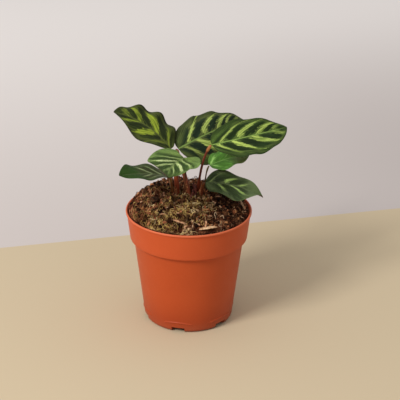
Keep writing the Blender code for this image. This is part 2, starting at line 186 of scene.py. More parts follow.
def pot_rings(profile, turn):
    """The profile carried round, with brows raised on the wall.

    A brow is a round ridge along an arch drawn on the wall, highest over the notch's middle.
    """
    between = math.tau / NOTCHES
    off = (np.mod(turn - FIRST_NOTCH + between / 2, between) - between / 2) * FLOOR_RADIUS
    radius, height = profile[:, :1], profile[:, 1:] + 0 * turn
    span = off / (BROW_WIDTH / 2)
    arch = BROW_RISE[0] + (BROW_RISE[1] - BROW_RISE[0]) * (1 - span**2)
    ridge = np.clip(1 - ((height - arch) / BROW_RADIUS) ** 2, 0, 1)
    ridge = ridge * np.clip((BROW_END - np.abs(span)) * BROW_FADE, 0, 1)
    outside = np.arange(len(profile))[:, None] > len(profile) // 2
    radius = radius + BROW_HEIGHT * np.sqrt(ridge) * outside
    return np.stack([radius * np.cos(turn), radius * np.sin(turn), height], -1)


def notch_faces(count, turn, rows):
    """Which quads of the pot's skin a notch takes away, and the quads that line its four sides.

    The lining joins the inner to the outer row at the ceiling and at the back, and row to row at both sides.
    """
    inner_back, inner_top, outer_top, outer_back = rows
    missing = np.zeros((count - 1, len(turn)), bool)
    lining = []
    for middle in NOTCH_TURNS:
        first = np.abs(turn - middle + NOTCH_HALF).argmin()
        last = np.abs(turn - middle - NOTCH_HALF).argmin()
        missing[inner_back:inner_top, first:last] = True
        missing[outer_top:outer_back, first:last] = True
        column, step = np.arange(first, last), np.arange(inner_top - inner_back)
        for start, end in ((inner_top, outer_top), (outer_back, inner_back)):
            strip = [(start, column), (start, column + 1), (end, column + 1), (end, column)]
            lining.append(np.stack([row * len(turn) + at for row, at in strip], -1))
        rise, fall = inner_back + step, outer_back - step
        sides = ((first, (rise, rise + 1, fall - 1, fall)), (last, (rise + 1, rise, fall, fall - 1)))
        for at, strip in sides:
            lining.append(np.stack([row * len(turn) + at for row in strip], -1))
    return missing, np.concatenate(lining)


def closed_skin(name, rings, poles, made, lining=None, **notes):
    """A smooth mesh of one or more closed bodies.

    rings is an array of bodies x rings x points round x 3, and poles holds the two end points of each body.
    Quads join each ring to the next, and a fan of triangles joins the first and the last ring to its pole.
    Points go round left-handed to the way that the rings follow each other, so that the faces look outwards.
    A lining marks the quads that are left out (rings - 1 x points round) and gives those that are put in.
    A note is a number at each point, kept under its own name for the finish; a pole takes its ring's mean.
    """
    bodies, count, around = rings.shape[:3]
    points = np.concatenate([rings.reshape(bodies, -1, 3), poles], 1)
    step = points.shape[1]
    ring, place = np.meshgrid(np.arange(count - 1), np.arange(around), indexing="ij")
    here, beside = ring * around + place, ring * around + (place + 1) % around
    quads = np.stack([here, here + around, beside + around, beside], -1).reshape(-1, 4)
    if lining:
        quads = np.concatenate([quads[~lining[0].ravel()], lining[1]])
    place, beside, last = np.arange(around), (np.arange(around) + 1) % around, (count - 1) * around
    start_fan = np.stack([np.full(around, step - 2), place, beside], -1)
    end_fan = np.stack([last + beside, last + place, np.full(around, step - 1)], -1)
    shift = np.arange(bodies)[:, None, None] * step
    faces = (quads + shift).reshape(-1, 4).tolist()
    faces += (np.concatenate([start_fan, end_fan]) + shift).reshape(-1, 3).tolist()
    mesh = bpy.data.meshes.new(name)
    mesh.from_pydata(points.reshape(-1, 3), [], faces)
    mesh.materials.append(made)
    mesh.shade_smooth()
    for key, values in notes.items():
        values = np.broadcast_to(values, rings.shape[:3])
        ends = np.stack([values[:, 0].mean(-1), values[:, -1].mean(-1)], -1)
        full = np.concatenate([values.reshape(bodies, -1), ends], 1).astype(np.float32)
        mesh.attributes.new(key, "FLOAT", "POINT").data.foreach_set("value", full.ravel())
    obj = bpy.data.objects.new(name, mesh)
    bpy.context.collection.objects.link(obj)
    return obj


class Pattern:
    """A number or colour that varies over a finish: one output of a shader node.

    Sums, differences, products and quotients of patterns and plain numbers are patterns too.
    """

    def __init__(self, socket):
        self.socket, self.node_tree = socket, socket.id_data

    def sum_up(self, operation, other):
        """One number worked out from this pattern and another value, by a named operation."""
        return add(self, "Math", {0: self, 1: other}, operation=operation)

    def __add__(self, other):
        return self.sum_up("ADD", other)

    def __sub__(self, other):
        return self.sum_up("SUBTRACT", other)

    def __rsub__(self, other):
        return add(self, "Math", {0: other, 1: self}, operation="SUBTRACT")

    def __mul__(self, other):
        return self.sum_up("MULTIPLY", other)

    def __truediv__(self, other):
        return self.sum_up("DIVIDE", other)


def add(owner, kind, inputs, output=0, **settings):
    """Adds a node to a finish, named by itself or by one of its patterns, and gives one of its outputs.

    Each input is linked to the pattern that it is given, or set to the value.
    """
    tree = owner.node_tree
    node = tree.nodes.new("ShaderNode" + kind)
    for key, value in settings.items():
        setattr(node, key, value)
    for key, value in inputs.items():
        if isinstance(value, Pattern):
            tree.links.new(value.socket, node.inputs[key])
        else:
            node.inputs[key].default_value = value
    return Pattern(node.outputs[output])


def finish(name, roughness, gloss=0.5):
    """A material with one Principled shader of a plain roughness and gloss."""
    made = bpy.data.materials.new(name)
    made.use_nodes = True
    sockets = made.node_tree.nodes["Principled BSDF"].inputs
    sockets["Roughness"].default_value = roughness
    sockets["Specular IOR Level"].default_value = gloss
    return made


def to_shader(made, **patterns):
    """Links patterns to the sockets of the finish's shader that they are named for."""
    sockets = made.node_tree.nodes["Principled BSDF"].inputs
    for name, pattern in patterns.items():
        made.node_tree.links.new(pattern.socket, sockets[name.replace("_", " ")])
    return made


def object_place(owner):
    """The place of a point in the object's own metres."""
    return add(owner, "TexCoord", {}, "Object")


def noise(place, scale, detail=2.0, roughness=0.5):
    """A smooth random pattern from 0 to 1, about as many lumps to the metre as its scale."""
    return add(place, "TexNoise", {"Vector": place, "Scale": scale, "Detail": detail, "Roughness": roughness})


def step_up(value, low, high):
    """0 where a value is under low, 1 where it is over high, and a smooth slope between the two."""
    return add(value, "MapRange", {0: value, 1: low, 2: high}, interpolation_type="SMOOTHSTEP")


def spread(value, low, high, start=0.0, end=1.0):
    """A number that goes evenly from low to high as a value goes from start to end."""
    return add(value, "MapRange", {0: value, 1: start, 2: end, 3: low, 4: high})


def blend(factor, first, second, how="MIX"):
    """A colour that goes from the first to the second as the factor goes from 0 to 1."""
    owner = next(value for value in (factor, first, second) if isinstance(value, Pattern))
    inputs = {key: (*value, 1) if isinstance(value, tuple) else value
              for key, value in ((0, factor), (6, first), (7, second))}
    return add(owner, "Mix", inputs, 2, data_type="RGBA", blend_type=how)


def tinted(tone, tint):
    """A tone times a tint, channel by channel."""
    return blend(1.0, tone, tint, "MULTIPLY")


def bump(height, depth):
    """A normal from a height pattern that is depth metres deep."""
    return add(height, "Bump", {"Height": height, "Distance": depth})


terracotta = finish("terracotta_plastic", 0.42, 0.25)
place = object_place(terracotta)
height = add(place, "SeparateXYZ", {0: place}, "Z")
clouds = noise(place, 45.0, 3.0)
mottle = noise(place, 900.0, 3.0)
scuffs = noise(place, 160.0, 4.0, 0.6)
tone = blend(clouds, *POT_TONES)
tone = blend(step_up(mottle, 0.64, 0.78), tone, SPECK_TONE)
# Painted highlight: a lighter band along the top of the lip.
tone = blend(step_up(height, RIM_HEIGHT - LIP_HIGHLIGHT_BAND[0], RIM_HEIGHT - LIP_HIGHLIGHT_BAND[1]), tone, LIP_HIGHLIGHT_TONE)
tone = blend(step_up(height, DUST_HEIGHT, 0.0) * clouds, tone, DUST_TONE)
# Painted shade and light: the wall darkens towards the foot and the collar is lighter, as light falls from
# above.
shade = blend(step_up(height, 0.0, PAINTED_SHADE_HEIGHT), PAINTED_FOOT_SHADE, (1.0, 1.0, 1.0))
shade = blend(step_up(height, *PAINTED_COLLAR_BAND), shade, PAINTED_COLLAR_LIGHT)
to_shader(terracotta, Base_Color=tinted(tone, shade), Roughness=spread(scuffs, 0.36, 0.54),
          Normal=bump(mottle, 0.00002))

profile, notch_rows = pot_profile()
turns = pot_angles()
middles = np.array([[[0, 0, WALL], [0, 0, 0]]])
pot = closed_skin("pot_moulding", pot_rings(profile, turns)[None], middles, terracotta,
                  notch_faces(len(profile), turns, notch_rows))
pot.data.set_sharp_from_angle(angle=math.radians(POT_CREASE))
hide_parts("pot")
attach(pot, "root")


# The potting mix. Coir and bark packed into a flat-topped mound that leans up towards the back. It is the
# solids' mound with their seeded lumps, and three sizes of finer clods on top (cell, height, seed), which
# flatten out under the stick and the chip of bark that lie on it.

SOIL_EDGE = 0.0985
SOIL_RADIUS = 0.0514
SOIL_MOUND = 0.012
MOUND_POWER = 4.5
SOIL_LEAN = (-0.0045, 0.001)
LEAN_POWER = 6
LUMPS = 260
LUMP_RADIUS = (0.0020, 0.0055)
LUMP_HEIGHT = (0.0008, 0.0034)
LUMP_SEED = 11
EDGE_RELIEF = 0.15
EDGE_FADE = 12
CLODS = ((0.0066, 0.0023, 20), (0.0032, 0.0013, 21), (0.0015, 0.0008, 22))
CLOD_TABLE = 64
CLOD_FADE = 0.003
CLOD_REACH = (0.5, 0.45)
CLOD_RISE = (0.35, 0.65)
CLOD_MIDDLE = 0.4
BARK = {
    "wood_stick": dict(size=(0.014, 0.0016, 0.0014), turn=113, tilt=-22),
    "wood_chip": dict(size=(0.016, 0.0045, 0.0012), turn=20, tilt=0),
}
BARK_MARGIN = 0.0022
GAP = 0.0003
SOIL_RINGS = 130
SOIL_COLUMNS = 380
EARTH_TONES = ((0.015, 0.005, 0.003), (0.14, 0.047, 0.020), (0.34, 0.155, 0.064))
PATCH_TINT = (0.36, 0.28, 0.25)


def mound(x, y):
    """Height of the mix: a mound that falls by a power of the distance, a lean, and seeded round lumps."""
    reach = np.clip(np.hypot(x, y) / (COLLAR_TOP_RADIUS - WALL), 0, 1)
    lean = (SOIL_LEAN[0] * x + SOIL_LEAN[1] * y) / RIM_RADIUS
    rise = SOIL_EDGE + SOIL_MOUND * (1 - reach**MOUND_POWER) + lean * (1 - reach**LEAN_POWER)
    rng = np.random.default_rng(LUMP_SEED)
    relief = np.zeros_like(rise)
    for _ in range(LUMPS):
        turn, out = rng.uniform(0, math.tau), RIM_RADIUS * math.sqrt(rng.uniform(0, 1))
        size, lump = rng.uniform(*LUMP_RADIUS), rng.uniform(*LUMP_HEIGHT)
        far = np.hypot(x - out * math.cos(turn), y - out * math.sin(turn)) / size
        relief = np.maximum(relief, lump * np.clip(1 - far * far, 0, 1))
    return rise + relief * np.clip((1 - reach) * EDGE_FADE, EDGE_RELIEF, 1)


def clods(x, y, size, seed):
    """Round clods from 0 to 1 high, one to a cell of a jittered grid; the tallest of nine close by counts."""
    table = np.random.default_rng(seed).uniform(0, 1, (CLOD_TABLE, CLOD_TABLE, 4))
    column, row = np.floor(x / size).astype(int), np.floor(y / size).astype(int)
    best = np.zeros_like(x)
    for right in (-1, 0, 1):
        for back in (-1, 0, 1):
            drawn = table[(column + right) % CLOD_TABLE, (row + back) % CLOD_TABLE]
            far_x = x / size - (column + right + drawn[..., 0])
            far_y = y / size - (row + back + drawn[..., 1])
            reach = CLOD_REACH[0] + CLOD_REACH[1] * drawn[..., 2]
            dome = np.sqrt(np.clip(1 - (far_x**2 + far_y**2) / reach**2, 0, 1))
            best = np.maximum(best, dome * (CLOD_RISE[0] + CLOD_RISE[1] * drawn[..., 3]))
    return best


def under_bark(x, y):
    """1 under the middle line of a lying bit of bark, and less with the square of the distance from it."""
    most = np.zeros_like(x)
    for name, bit in BARK.items():
        middle = np.mean(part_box(name), axis=0)
        far_x, far_y = x - middle[0], y - middle[1]
        turn = math.radians(bit["turn"])
        along_it = far_x * math.cos(turn) + far_y * math.sin(turn)
        past_end = np.clip(np.abs(along_it) - bit["size"][0] / 2, 0, None)
        off = np.hypot(far_y * math.cos(turn) - far_x * math.sin(turn), past_end)
        most = np.maximum(most, np.exp(-((off / BARK_MARGIN) ** 2)))
    return most


def mix_height(x, y):
    """The mound with its finer clods, which flatten out at the pot's wall and under lying bark."""
    fade = np.clip((SOIL_RADIUS - np.hypot(x, y)) / CLOD_FADE, 0, 1) * (1 - under_bark(x, y))
    fine = sum(high * (clods(x, y, size, seed) - CLOD_MIDDLE) for size, high, seed in CLODS)
    return mound(x, y) + fine * fade


def height_at(surface, x, y):
    """The height of one point of a surface, as a plain number."""
    return float(surface(np.array([x]), np.array([y]))[0])


def soil_rings():
    """Rings across the top from the middle out, then down inside the pot's wall and in under the floor."""
    turn = np.linspace(0, math.tau, SOIL_COLUMNS, endpoint=False)
    out = SOIL_RADIUS * np.linspace(1 / SOIL_RINGS, 1, SOIL_RINGS)[:, None]
    x, y = out * np.cos(turn), out * np.sin(turn)
    top = np.stack([x, y, mix_height(x, y)], -1)
    inside, corner = WALL + GAP, wall_radius(FOOT_ROUND)
    side = np.array([
        (SOIL_RADIUS - 0.0006, SOIL_EDGE - 0.004),
        (COLLAR_FOOT_RADIUS - inside, STEP_HEIGHT + 2 * WALL + GAP),
        (STEP_RADIUS - inside, STEP_HEIGHT + 2 * WALL + GAP),
        (corner - inside, FOOT_ROUND + WALL / 2),
        (corner - FOOT_ROUND - GAP, WALL + GAP),
    ])
    radius, height = side[:, None, 0], side[:, None, 1] + np.zeros(SOIL_COLUMNS)
    under = np.stack([radius * np.cos(turn), radius * np.sin(turn), height], -1)
    return np.concatenate([top, under])


def darker_in_patches(tone):
    """A tone that is darker and redder in random patches some millimetres wide."""
    dark_patches = step_up(noise(object_place(tone), 130.0), 0.55, 0.45)
    return blend(dark_patches, tone, tinted(tone, PATCH_TINT))


earth = finish("potting_mix", 0.92, 0.1)
place = object_place(earth)
lumps = noise(place, 300.0, 4.0, 0.6)
specks = noise(place, 1200.0, 3.0, 0.6)
tone = blend(step_up(lumps, 0.38, 0.62), *EARTH_TONES[:2])
tone = blend(step_up(specks, 0.52, 0.70), tone, EARTH_TONES[2])
to_shader(earth, Base_Color=darker_in_patches(tone), Normal=bump(specks, 0.0004))

middles = np.array([[[0, 0, height_at(mix_height, 0.0, 0.0)], [0, 0, WALL + GAP]]])
soil = closed_skin("potting_mix_bed", soil_rings()[None], middles, earth)
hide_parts("soil")
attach(soil, "root")


# Crumbs of the mix. Broken bits of peat, coir pith and bark that lie loose on the bed, some hundreds of each.
# Each is a small ball with uneven corners, flattened, turned at random and partly sunk. A row gives the name,
# the number, the least and most radius, the flatness, the seed, and the darkest and the palest tone.

CRUMBS = (
    ("crumbs_dark", 430, (0.0007, 0.0026), 0.8, 31, (0.010, 0.004, 0.002), (0.095, 0.038, 0.015)),
    ("crumbs_brown", 800, (0.0006, 0.0022), 0.7, 32, (0.048, 0.015, 0.006), (0.60, 0.275, 0.115)),
    ("crumbs_red", 420, (0.0006, 0.0019), 0.7, 33, (0.130, 0.030, 0.011), (0.66, 0.26, 0.12)),
    ("flakes", 330, (0.0006, 0.0020), 0.3, 34, (0.22, 0.12, 0.05), (0.74, 0.50, 0.29)),
)
CRUMB_RINGS = 4
CRUMB_SIDES = 7
CRUMB_CREASE = 32
CRUMB_UNEVEN = (0.62, 1.25)
CRUMB_STRETCH = (0.6, 1.3)
CRUMB_LIFT = (-0.2, 0.55)
CLEAR_OF_BARK = 0.45


def scatter(rng, count, radius):
    """Seeded places spread evenly over a disc."""
    out, turn = radius * np.sqrt(rng.uniform(0, 1, count)), rng.uniform(0, math.tau, count)
    return out * np.cos(turn), out * np.sin(turn)


def turned_at_random(rng, points):
    """Each body's points turned about its own centre by a seeded rotation, from two random directions."""
    first = rng.normal(size=(len(points), 3)) * np.array([1.0, 1.0, 0.4])
    first /= np.linalg.norm(first, axis=-1, keepdims=True)
    second = np.cross(first, rng.normal(size=(len(points), 3)))
    second /= np.linalg.norm(second, axis=-1, keepdims=True)
    axes = np.stack([first, second, np.cross(first, second)], -2)
    return np.einsum("b...i,bij->b...j", points, axes)


def crumb_rings(count, sizes, flat, seed):
    """Rings and poles of crumbs: a ball's rings, each point moved in or out, scaled unevenly and turned."""
    rng = np.random.default_rng(seed)
    small, large = sizes
    size = small * (large / small) ** rng.uniform(0, 1, count)
    x, y = scatter(rng, count, SOIL_RADIUS - 1.25 * size)
    lean = np.linspace(0, math.pi, CRUMB_RINGS + 2)[:, None]
    turn = np.linspace(0, math.tau, CRUMB_SIDES, endpoint=False)
    ball = np.stack([np.sin(lean) * np.cos(turn), np.sin(lean) * np.sin(turn), np.cos(lean) + 0 * turn], -1)
    points = ball * rng.uniform(*CRUMB_UNEVEN, (count, CRUMB_RINGS + 2, CRUMB_SIDES, 1))
    stretch = rng.uniform(*CRUMB_STRETCH, (count, 1, 1, 3)) * np.array([1, flat, 1])
    points = turned_at_random(rng, points * stretch * size[:, None, None, None])
    high = mix_height(x, y) + size * rng.uniform(*CRUMB_LIFT, count)
    points = (points + np.stack([x, y, high], -1)[:, None, None])[under_bark(x, y) < CLEAR_OF_BARK]
    return points[:, 1:-1], np.stack([points[:, 0].mean(1), points[:, -1].mean(1)], 1)


def loose_finish(name, dark, pale, roughness, gloss, grain, swing, relief=None):
    """A finish from dark to pale by the shade noted on each bit, which grain moves up and down by a swing."""
    made = finish(name, roughness, gloss)
    specks = noise(object_place(made), *grain)
    shade = add(made, "Attribute", {}, "Fac", attribute_name="shade") + spread(specks, -swing, swing)
    if relief:
        to_shader(made, Normal=bump(specks, relief))
    return to_shader(made, Base_Color=darker_in_patches(blend(shade, dark, pale)))


for name, count, sizes, flat, seed, dark, pale in CRUMBS:
    rings, poles = crumb_rings(count, sizes, flat, seed)
    shade = np.random.default_rng(seed).beta(1.1, 1.6, len(rings))[:, None, None]
    made = loose_finish(name, dark, pale, 0.92, 0.1, (1400.0, 3.0, 0.6), 0.45, 0.0003)
    loose = closed_skin(name, rings, poles, made, shade=shade)
    loose.data.set_sharp_from_angle(angle=math.radians(CRUMB_CREASE))
    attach(loose, "root")


# Fibres on the mix. Red-brown coir hairs, yellow-green moss, dry straw and pale dead strands, thin and curly,
# hundreds of each, that lie on the mix and loop a little way off it. Each is a tube along a wandering line.

# A row gives the name, the number, the length, radius, curl and arch, the seed, the middle of the patch, its
# share of the bed, and the darkest and the palest tone.
STRANDS = (
    ("coir_fibres", 800, (0.003, 0.012), (0.00010, 0.00025), 2.2, 0.0008, 41, (0, 0), 1.0,
     (0.045, 0.016, 0.007), (0.36, 0.17, 0.08)),
    ("red_fibres", 560, (0.002, 0.008), (0.00014, 0.00034), 3.0, 0.0010, 42, (-0.034, -0.010), 0.40,
     (0.20, 0.045, 0.018), (0.82, 0.34, 0.17)),
    ("moss_strands", 640, (0.0035, 0.012), (0.00016, 0.00034), 2.8, 0.0010, 43, (-0.014, -0.019), 0.62,
     (0.17, 0.092, 0.022), (0.92, 0.66, 0.22)),
    ("straw_bits", 170, (0.002, 0.007), (0.00020, 0.00050), 1.0, 0.0008, 44, (0.004, -0.008), 0.9,
     (0.34, 0.20, 0.10), (0.80, 0.58, 0.38)),
    ("pale_strands", 150, (0.006, 0.014), (0.00018, 0.00030), 2.2, 0.0012, 45, (-0.012, -0.020), 0.7,
     (0.50, 0.34, 0.14), (1.0, 0.82, 0.45)),
)
STRAND_POINTS = 9
STRAND_SIDES = 3
WALL_CLEAR = 0.0005
HIGHEST_ARCH = 0.003
WAVE_SIZE = (0.2, 1.2)
WAVE_COUNT = (0.6, 1.8)
STRAND_LIFT = 0.0010
RIPPLE = 0.0003
STRAND_TAPER = (0.12, 0.9)


def tubes(paths, radii, sides, reference=(0.13, 0.05, 1.0)):
    """Rings round paths: at each point a circle across the path, its first radius square to the reference."""
    forward = np.gradient(paths, axis=-2)
    forward = forward / np.linalg.norm(forward, axis=-1, keepdims=True)
    across = np.cross(forward, np.array(reference))
    across /= np.linalg.norm(across, axis=-1, keepdims=True)
    over = np.cross(across, forward)
    turn = np.linspace(0, math.tau, sides, endpoint=False)
    circle = np.cos(turn)[:, None] * across[..., None, :] + np.sin(turn)[:, None] * over[..., None, :]
    rings = paths[..., None, :] + radii[..., None, None] * circle
    return rings, paths[:, [0, -1]]


def strand_paths(rng, count, lengths, curl, arch, middle, share):
    """Wandering lines on the mix: the heading turns by a seeded wave, and an arch lifts them off it."""
    x, y = scatter(rng, count, SOIL_RADIUS * share)
    x, y = x + middle[0], y + middle[1]
    length = rng.uniform(*lengths, (count, 1))
    s = np.linspace(0, 1, STRAND_POINTS)
    bend = rng.normal(0, curl, (count, 1)) * s
    wave = rng.uniform(*WAVE_SIZE, (count, 1)) * np.sin(math.tau * (rng.uniform(*WAVE_COUNT, (count, 1)) * s))
    heading = rng.uniform(0, math.tau, (count, 1)) + bend + wave
    x = x[:, None] + length * np.cumsum(np.cos(heading), 1) / STRAND_POINTS
    y = y[:, None] + length * np.cumsum(np.sin(heading), 1) / STRAND_POINTS
    tight = np.minimum(1, (SOIL_RADIUS - WALL_CLEAR) / np.hypot(x, y))
    x, y = x * tight, y * tight
    loop = np.minimum(rng.exponential(arch, (count, 1)) * np.sin(math.pi * s) ** 0.8, HIGHEST_ARCH)
    lift = loop + rng.uniform(0.0, STRAND_LIFT, (count, 1)) + RIPPLE * np.sin(9 * s + 6 * heading[:, :1])
    return np.stack([x, y, mix_height(x, y) + lift], -1)[under_bark(x, y).max(1) < CLEAR_OF_BARK]


for name, count, lengths, radius, curl, arch, seed, middle, share, dark, pale in STRANDS:
    rng = np.random.default_rng(seed)
    paths = strand_paths(rng, count, lengths, curl, arch, middle, share)
    taper = np.sin(math.pi * np.linspace(*STRAND_TAPER, STRAND_POINTS)) ** 0.5
    rings, poles = tubes(paths, rng.uniform(*radius, (len(paths), 1)) * taper, STRAND_SIDES)
    shade = rng.beta(1.3, 1.7, len(paths))[:, None, None]
    made = loose_finish(name, dark, pale, 0.75, 0.15, (700.0, 2.0), 0.12)
    fibres = closed_skin(name, rings, poles, made, shade=shade)
    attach(fibres, "root")


# Bark bits. Dark lumps of bark and pale splinters of wood, split off along the grain and half buried in the
# mix. Each is a bar with a rough oval section. A row gives its place, its lift off the mix, its length, width
# and thickness, all in millimetres, and its turn and tilt in degrees.

DARK_BITS = (
    (-29.0, -15.0, 1.6, 10.5, 7.0, 5.0, 35, -8), (-26.5, 12.0, 1.2, 7.0, 5.0, 4.2, 20, 5),
    (-12.0, 27.0, 0.6, 9.0, 5.0, 4.0, 10, 0), (29.0, 10.0, 0.6, 8.0, 5.0, 3.5, -30, 0),
    (12.0, -20.0, 0.4, 7.0, 4.5, 3.5, 70, 0), (8.0, 21.5, 1.6, 8.5, 5.5, 6.0, 15, -10),
    (-4.5, 17.7, 5.0, 14.0, 0.9, 0.9, 100, -76),
)
PALE_BITS = (
    (-8.6, -32.7, 0.6, 3.0, 1.5, 1.1, 10, 0), (-1.8, -46.4, 0.8, 4.5, 2.0, 1.1, 30, -12),
    (8.0, -42.6, 0.8, 4.0, 2.2, 1.0, -20, 10), (3.1, -44.0, 1.2, 3.6, 1.8, 0.9, 60, 15),
    (24.7, -13.9, 1.4, 16.5, 1.5, 1.1, -53, 9), (14.6, -43.0, 2.8, 6.0, 1.8, 1.2, 80, -66),
    (48.0, -8.5, 0.4, 3.2, 1.3, 1.0, 10, 0), (-7.0, -43.4, 1.4, 14.5, 0.7, 0.7, -29, 0),
    (-8.5, -42.0, 1.6, 12.5, 0.6, 0.6, -20, 3), (-6.5, -44.5, 1.2, 12.0, 0.6, 0.6, -40, -4),
    (18.0, -31.0, 0.8, 4.5, 2.4, 1.1, 20, 0), (-21.0, -35.0, 0.8, 6.0, 1.6, 1.0, 5, 5),
    (6.0, 23.0, 1.0, 5.0, 3.0, 1.6, 40, 10), (-39.0, -10.0, 0.8, 6.0, 1.8, 1.2, 50, 8),
    (-15.5, 6.0, 3.0, 8.0, 1.3, 0.8, 120, -62), (-17.5, 4.0, 2.2, 6.0, 1.2, 0.7, 190, -55),
    (-16.0, 18.5, 3.6, 8.5, 2.8, 1.2, 95, -70), (-4.5, -3.5, 1.4, 5.0, 2.0, 1.0, 60, -35),
    (8.6, -5.5, 1.0, 4.5, 1.6, 0.9, -20, 10), (-21.1, -4.5, 1.2, 5.5, 1.6, 0.9, 100, -30),
    (24.8, 0.9, 1.0, 5.0, 1.8, 1.0, 0, 0),
)
BARK_SAG = 0.0006
BARK_RINGS = 60
BARK_SIDES = 22
BARK_END = 0.985
BARK_TAPER = 0.5
BARK_BLUNTNESS = 7
BARK_GROOVES = 5
GROOVE_DEPTH = 0.13
GROOVE_WANDER = (0.8, 5)
BARK_DENTS = (0.05, 0.03)


def bark_bit(size, turn, tilt, seed):
    """Rings of a splinter: an oval that narrows by a power of the distance, dented by seeded ridges."""
    rng = np.random.default_rng(seed)
    s = np.linspace(-BARK_END, BARK_END, BARK_RINGS)[:, None]
    around = np.linspace(math.tau, 0, BARK_SIDES, endpoint=False)
    taper = (1 - BARK_TAPER * s**2) * np.sqrt(np.clip(1 - np.abs(s) ** BARK_BLUNTNESS, 0, 1))
    wander = GROOVE_WANDER[0] * np.sin(GROOVE_WANDER[1] * s)
    ridges = 1 + GROOVE_DEPTH * np.sin(BARK_GROOVES * around + wander)
    ridges = ridges + BARK_DENTS[0] * rng.normal(size=(1, BARK_SIDES))
    ridges = ridges + BARK_DENTS[1] * rng.normal(size=(BARK_RINGS, BARK_SIDES))
    x = s * size[0] / 2 + 0 * around
    y = size[1] / 2 * taper * np.cos(around) * ridges
    z = size[2] / 2 * taper * np.sin(around) * ridges + BARK_SAG * (1 - s**2)
    tilt, turn = math.radians(tilt), math.radians(turn)
    x, z = x * math.cos(tilt) + z * math.sin(tilt), z * math.cos(tilt) - x * math.sin(tilt)
    x, y = x * math.cos(turn) - y * math.sin(turn), x * math.sin(turn) + y * math.cos(turn)
    return np.stack([x, y, z], -1)


def laid_bits(name, bits, made):
    """One piece of many bits, each set at its lift above the mix."""
    shapes = []
    for seed, (*place, turn, tilt) in enumerate(bits):
        x, y, lift, *size = np.array(place) / 1000
        shapes.append(bark_bit(size, turn, tilt, seed) + np.array([x, y, height_at(mix_height, x, y) + lift]))
    shapes = np.stack(shapes)
    return closed_skin(name, shapes, shapes[:, [0, -1]].mean(2), made)


def grained(name, roughness, gloss, scale, edges, tones, relief=None):
    """Wood or dry skin: grain mixes two tones between two edges, and stands up as relief."""
    made = finish(name, roughness, gloss)
    grain = noise(object_place(made), scale, 4.0)
    if relief:
        to_shader(made, Normal=bump(grain, relief))
    return to_shader(made, Base_Color=blend(step_up(grain, *edges), *tones))


dark_bark = grained("dark_bark", 0.85, 0.15, 700.0, (0.4, 0.7),
                    ((0.018, 0.008, 0.004), (0.110, 0.045, 0.018)), 0.0006)
pale_bark = grained("pale_bark", 0.8, 0.5, 900.0, (0.35, 0.65),
                    ((0.30, 0.125, 0.055), (0.74, 0.43, 0.24)), 0.0002)
for name, bits, made in (("dark_bark", DARK_BITS, dark_bark), ("pale_bits", PALE_BITS, pale_bark)):
    pieces = laid_bits(name, bits, made)
    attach(pieces, "root")


# Sheaths. Dry brown and dark red leaf bases that stand round the feet of the stalks, papery strips made like
# the bark bits, with the same numbers in a row. The dark red ones are partly painted shade between the feet.

DRY_SHEATHS = (
    (9.8, 3.5, 5.0, 15.0, 2.4, 0.8, 75, -74), (12.8, 1.5, 3.6, 13.0, 1.4, 0.7, -40, 58),
    (-2.2, 1.0, 4.0, 12.0, 3.0, 0.9, 95, -84), (-11.5, 3.0, 3.0, 10.0, 2.6, 0.9, 100, -80),
    (9.5, 16.0, 3.0, 7.0, 2.0, 1.6, 60, -60), (6.2, 19.0, 2.0, 6.0, 2.2, 1.6, 140, -50),
    (15.0, 6.0, 2.0, 10.0, 1.8, 0.8, 10, -48), (5.2, 12.0, 2.4, 7.0, 3.2, 2.0, 30, -40),
    (8.5, 10.0, 2.6, 8.0, 2.4, 1.6, 130, -50),
)
# Dark red sheaths: real ones, and also painted shade where the stalks' feet crowd together.
RED_SHEATHS_AND_SHADE = (
    (3.6, -0.6, 3.0, 11.0, 2.4, 1.0, 95, -82), (5.4, 1.4, 4.0, 12.0, 2.6, 1.0, 80, -78),
    (2.0, -4.0, 1.6, 7.0, 2.2, 1.0, 70, -72), (4.0, 6.0, 3.0, 10.0, 2.8, 1.2, 100, -80),
    (6.0, -2.2, 1.4, 7.0, 2.0, 1.0, 110, -66),
)
dry_skin = grained("dry_sheath", 0.7, 0.2, 800.0, (0.35, 0.65),
                   ((0.20, 0.055, 0.020), (0.66, 0.27, 0.11)), 0.0004)
red_skin_and_shade = grained("red_sheath", 0.55, 0.25, 600.0, (0.4, 0.7),
                   ((0.035, 0.007, 0.005), (0.19, 0.042, 0.024)))
for name, bits, made in (("dry_sheaths", DRY_SHEATHS, dry_skin), ("red_sheaths_and_shade", RED_SHEATHS_AND_SHADE, red_skin_and_shade)):
    pieces = laid_bits(name, bits, made)
    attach(pieces, "root")


# The stick and the chip. Two tan bits of bark, one at the right and one at the front, laid where their solids
# lie. They are made like the bark bits, at the sizes, turns and tilts given with the mix.

tan_bark = grained("bark", 0.8, 0.5, 900.0, (0.35, 0.65),
                   ((0.40, 0.21, 0.095), (0.86, 0.59, 0.35)), 0.0002)
for seed, (name, bit) in enumerate(BARK.items()):
    low, high = (np.array(corner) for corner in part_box(name))
    shape = bark_bit(**bit, seed=seed)
    shape += (low + high) / 2 - (shape.min((0, 1)) + shape.max((0, 1))) / 2
    piece = closed_skin(name + "_split", shape[None], shape[None, [0, -1]].mean(2), tan_bark)
    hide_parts(name)
    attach(piece, "root")


# The stalks. Seven fleshy red-brown stalks, thick at the foot, slim above and swollen into an orange joint
# under the blade. Each is a tube along a cubic curve from the mix to the midrib, with fine ridges along it.

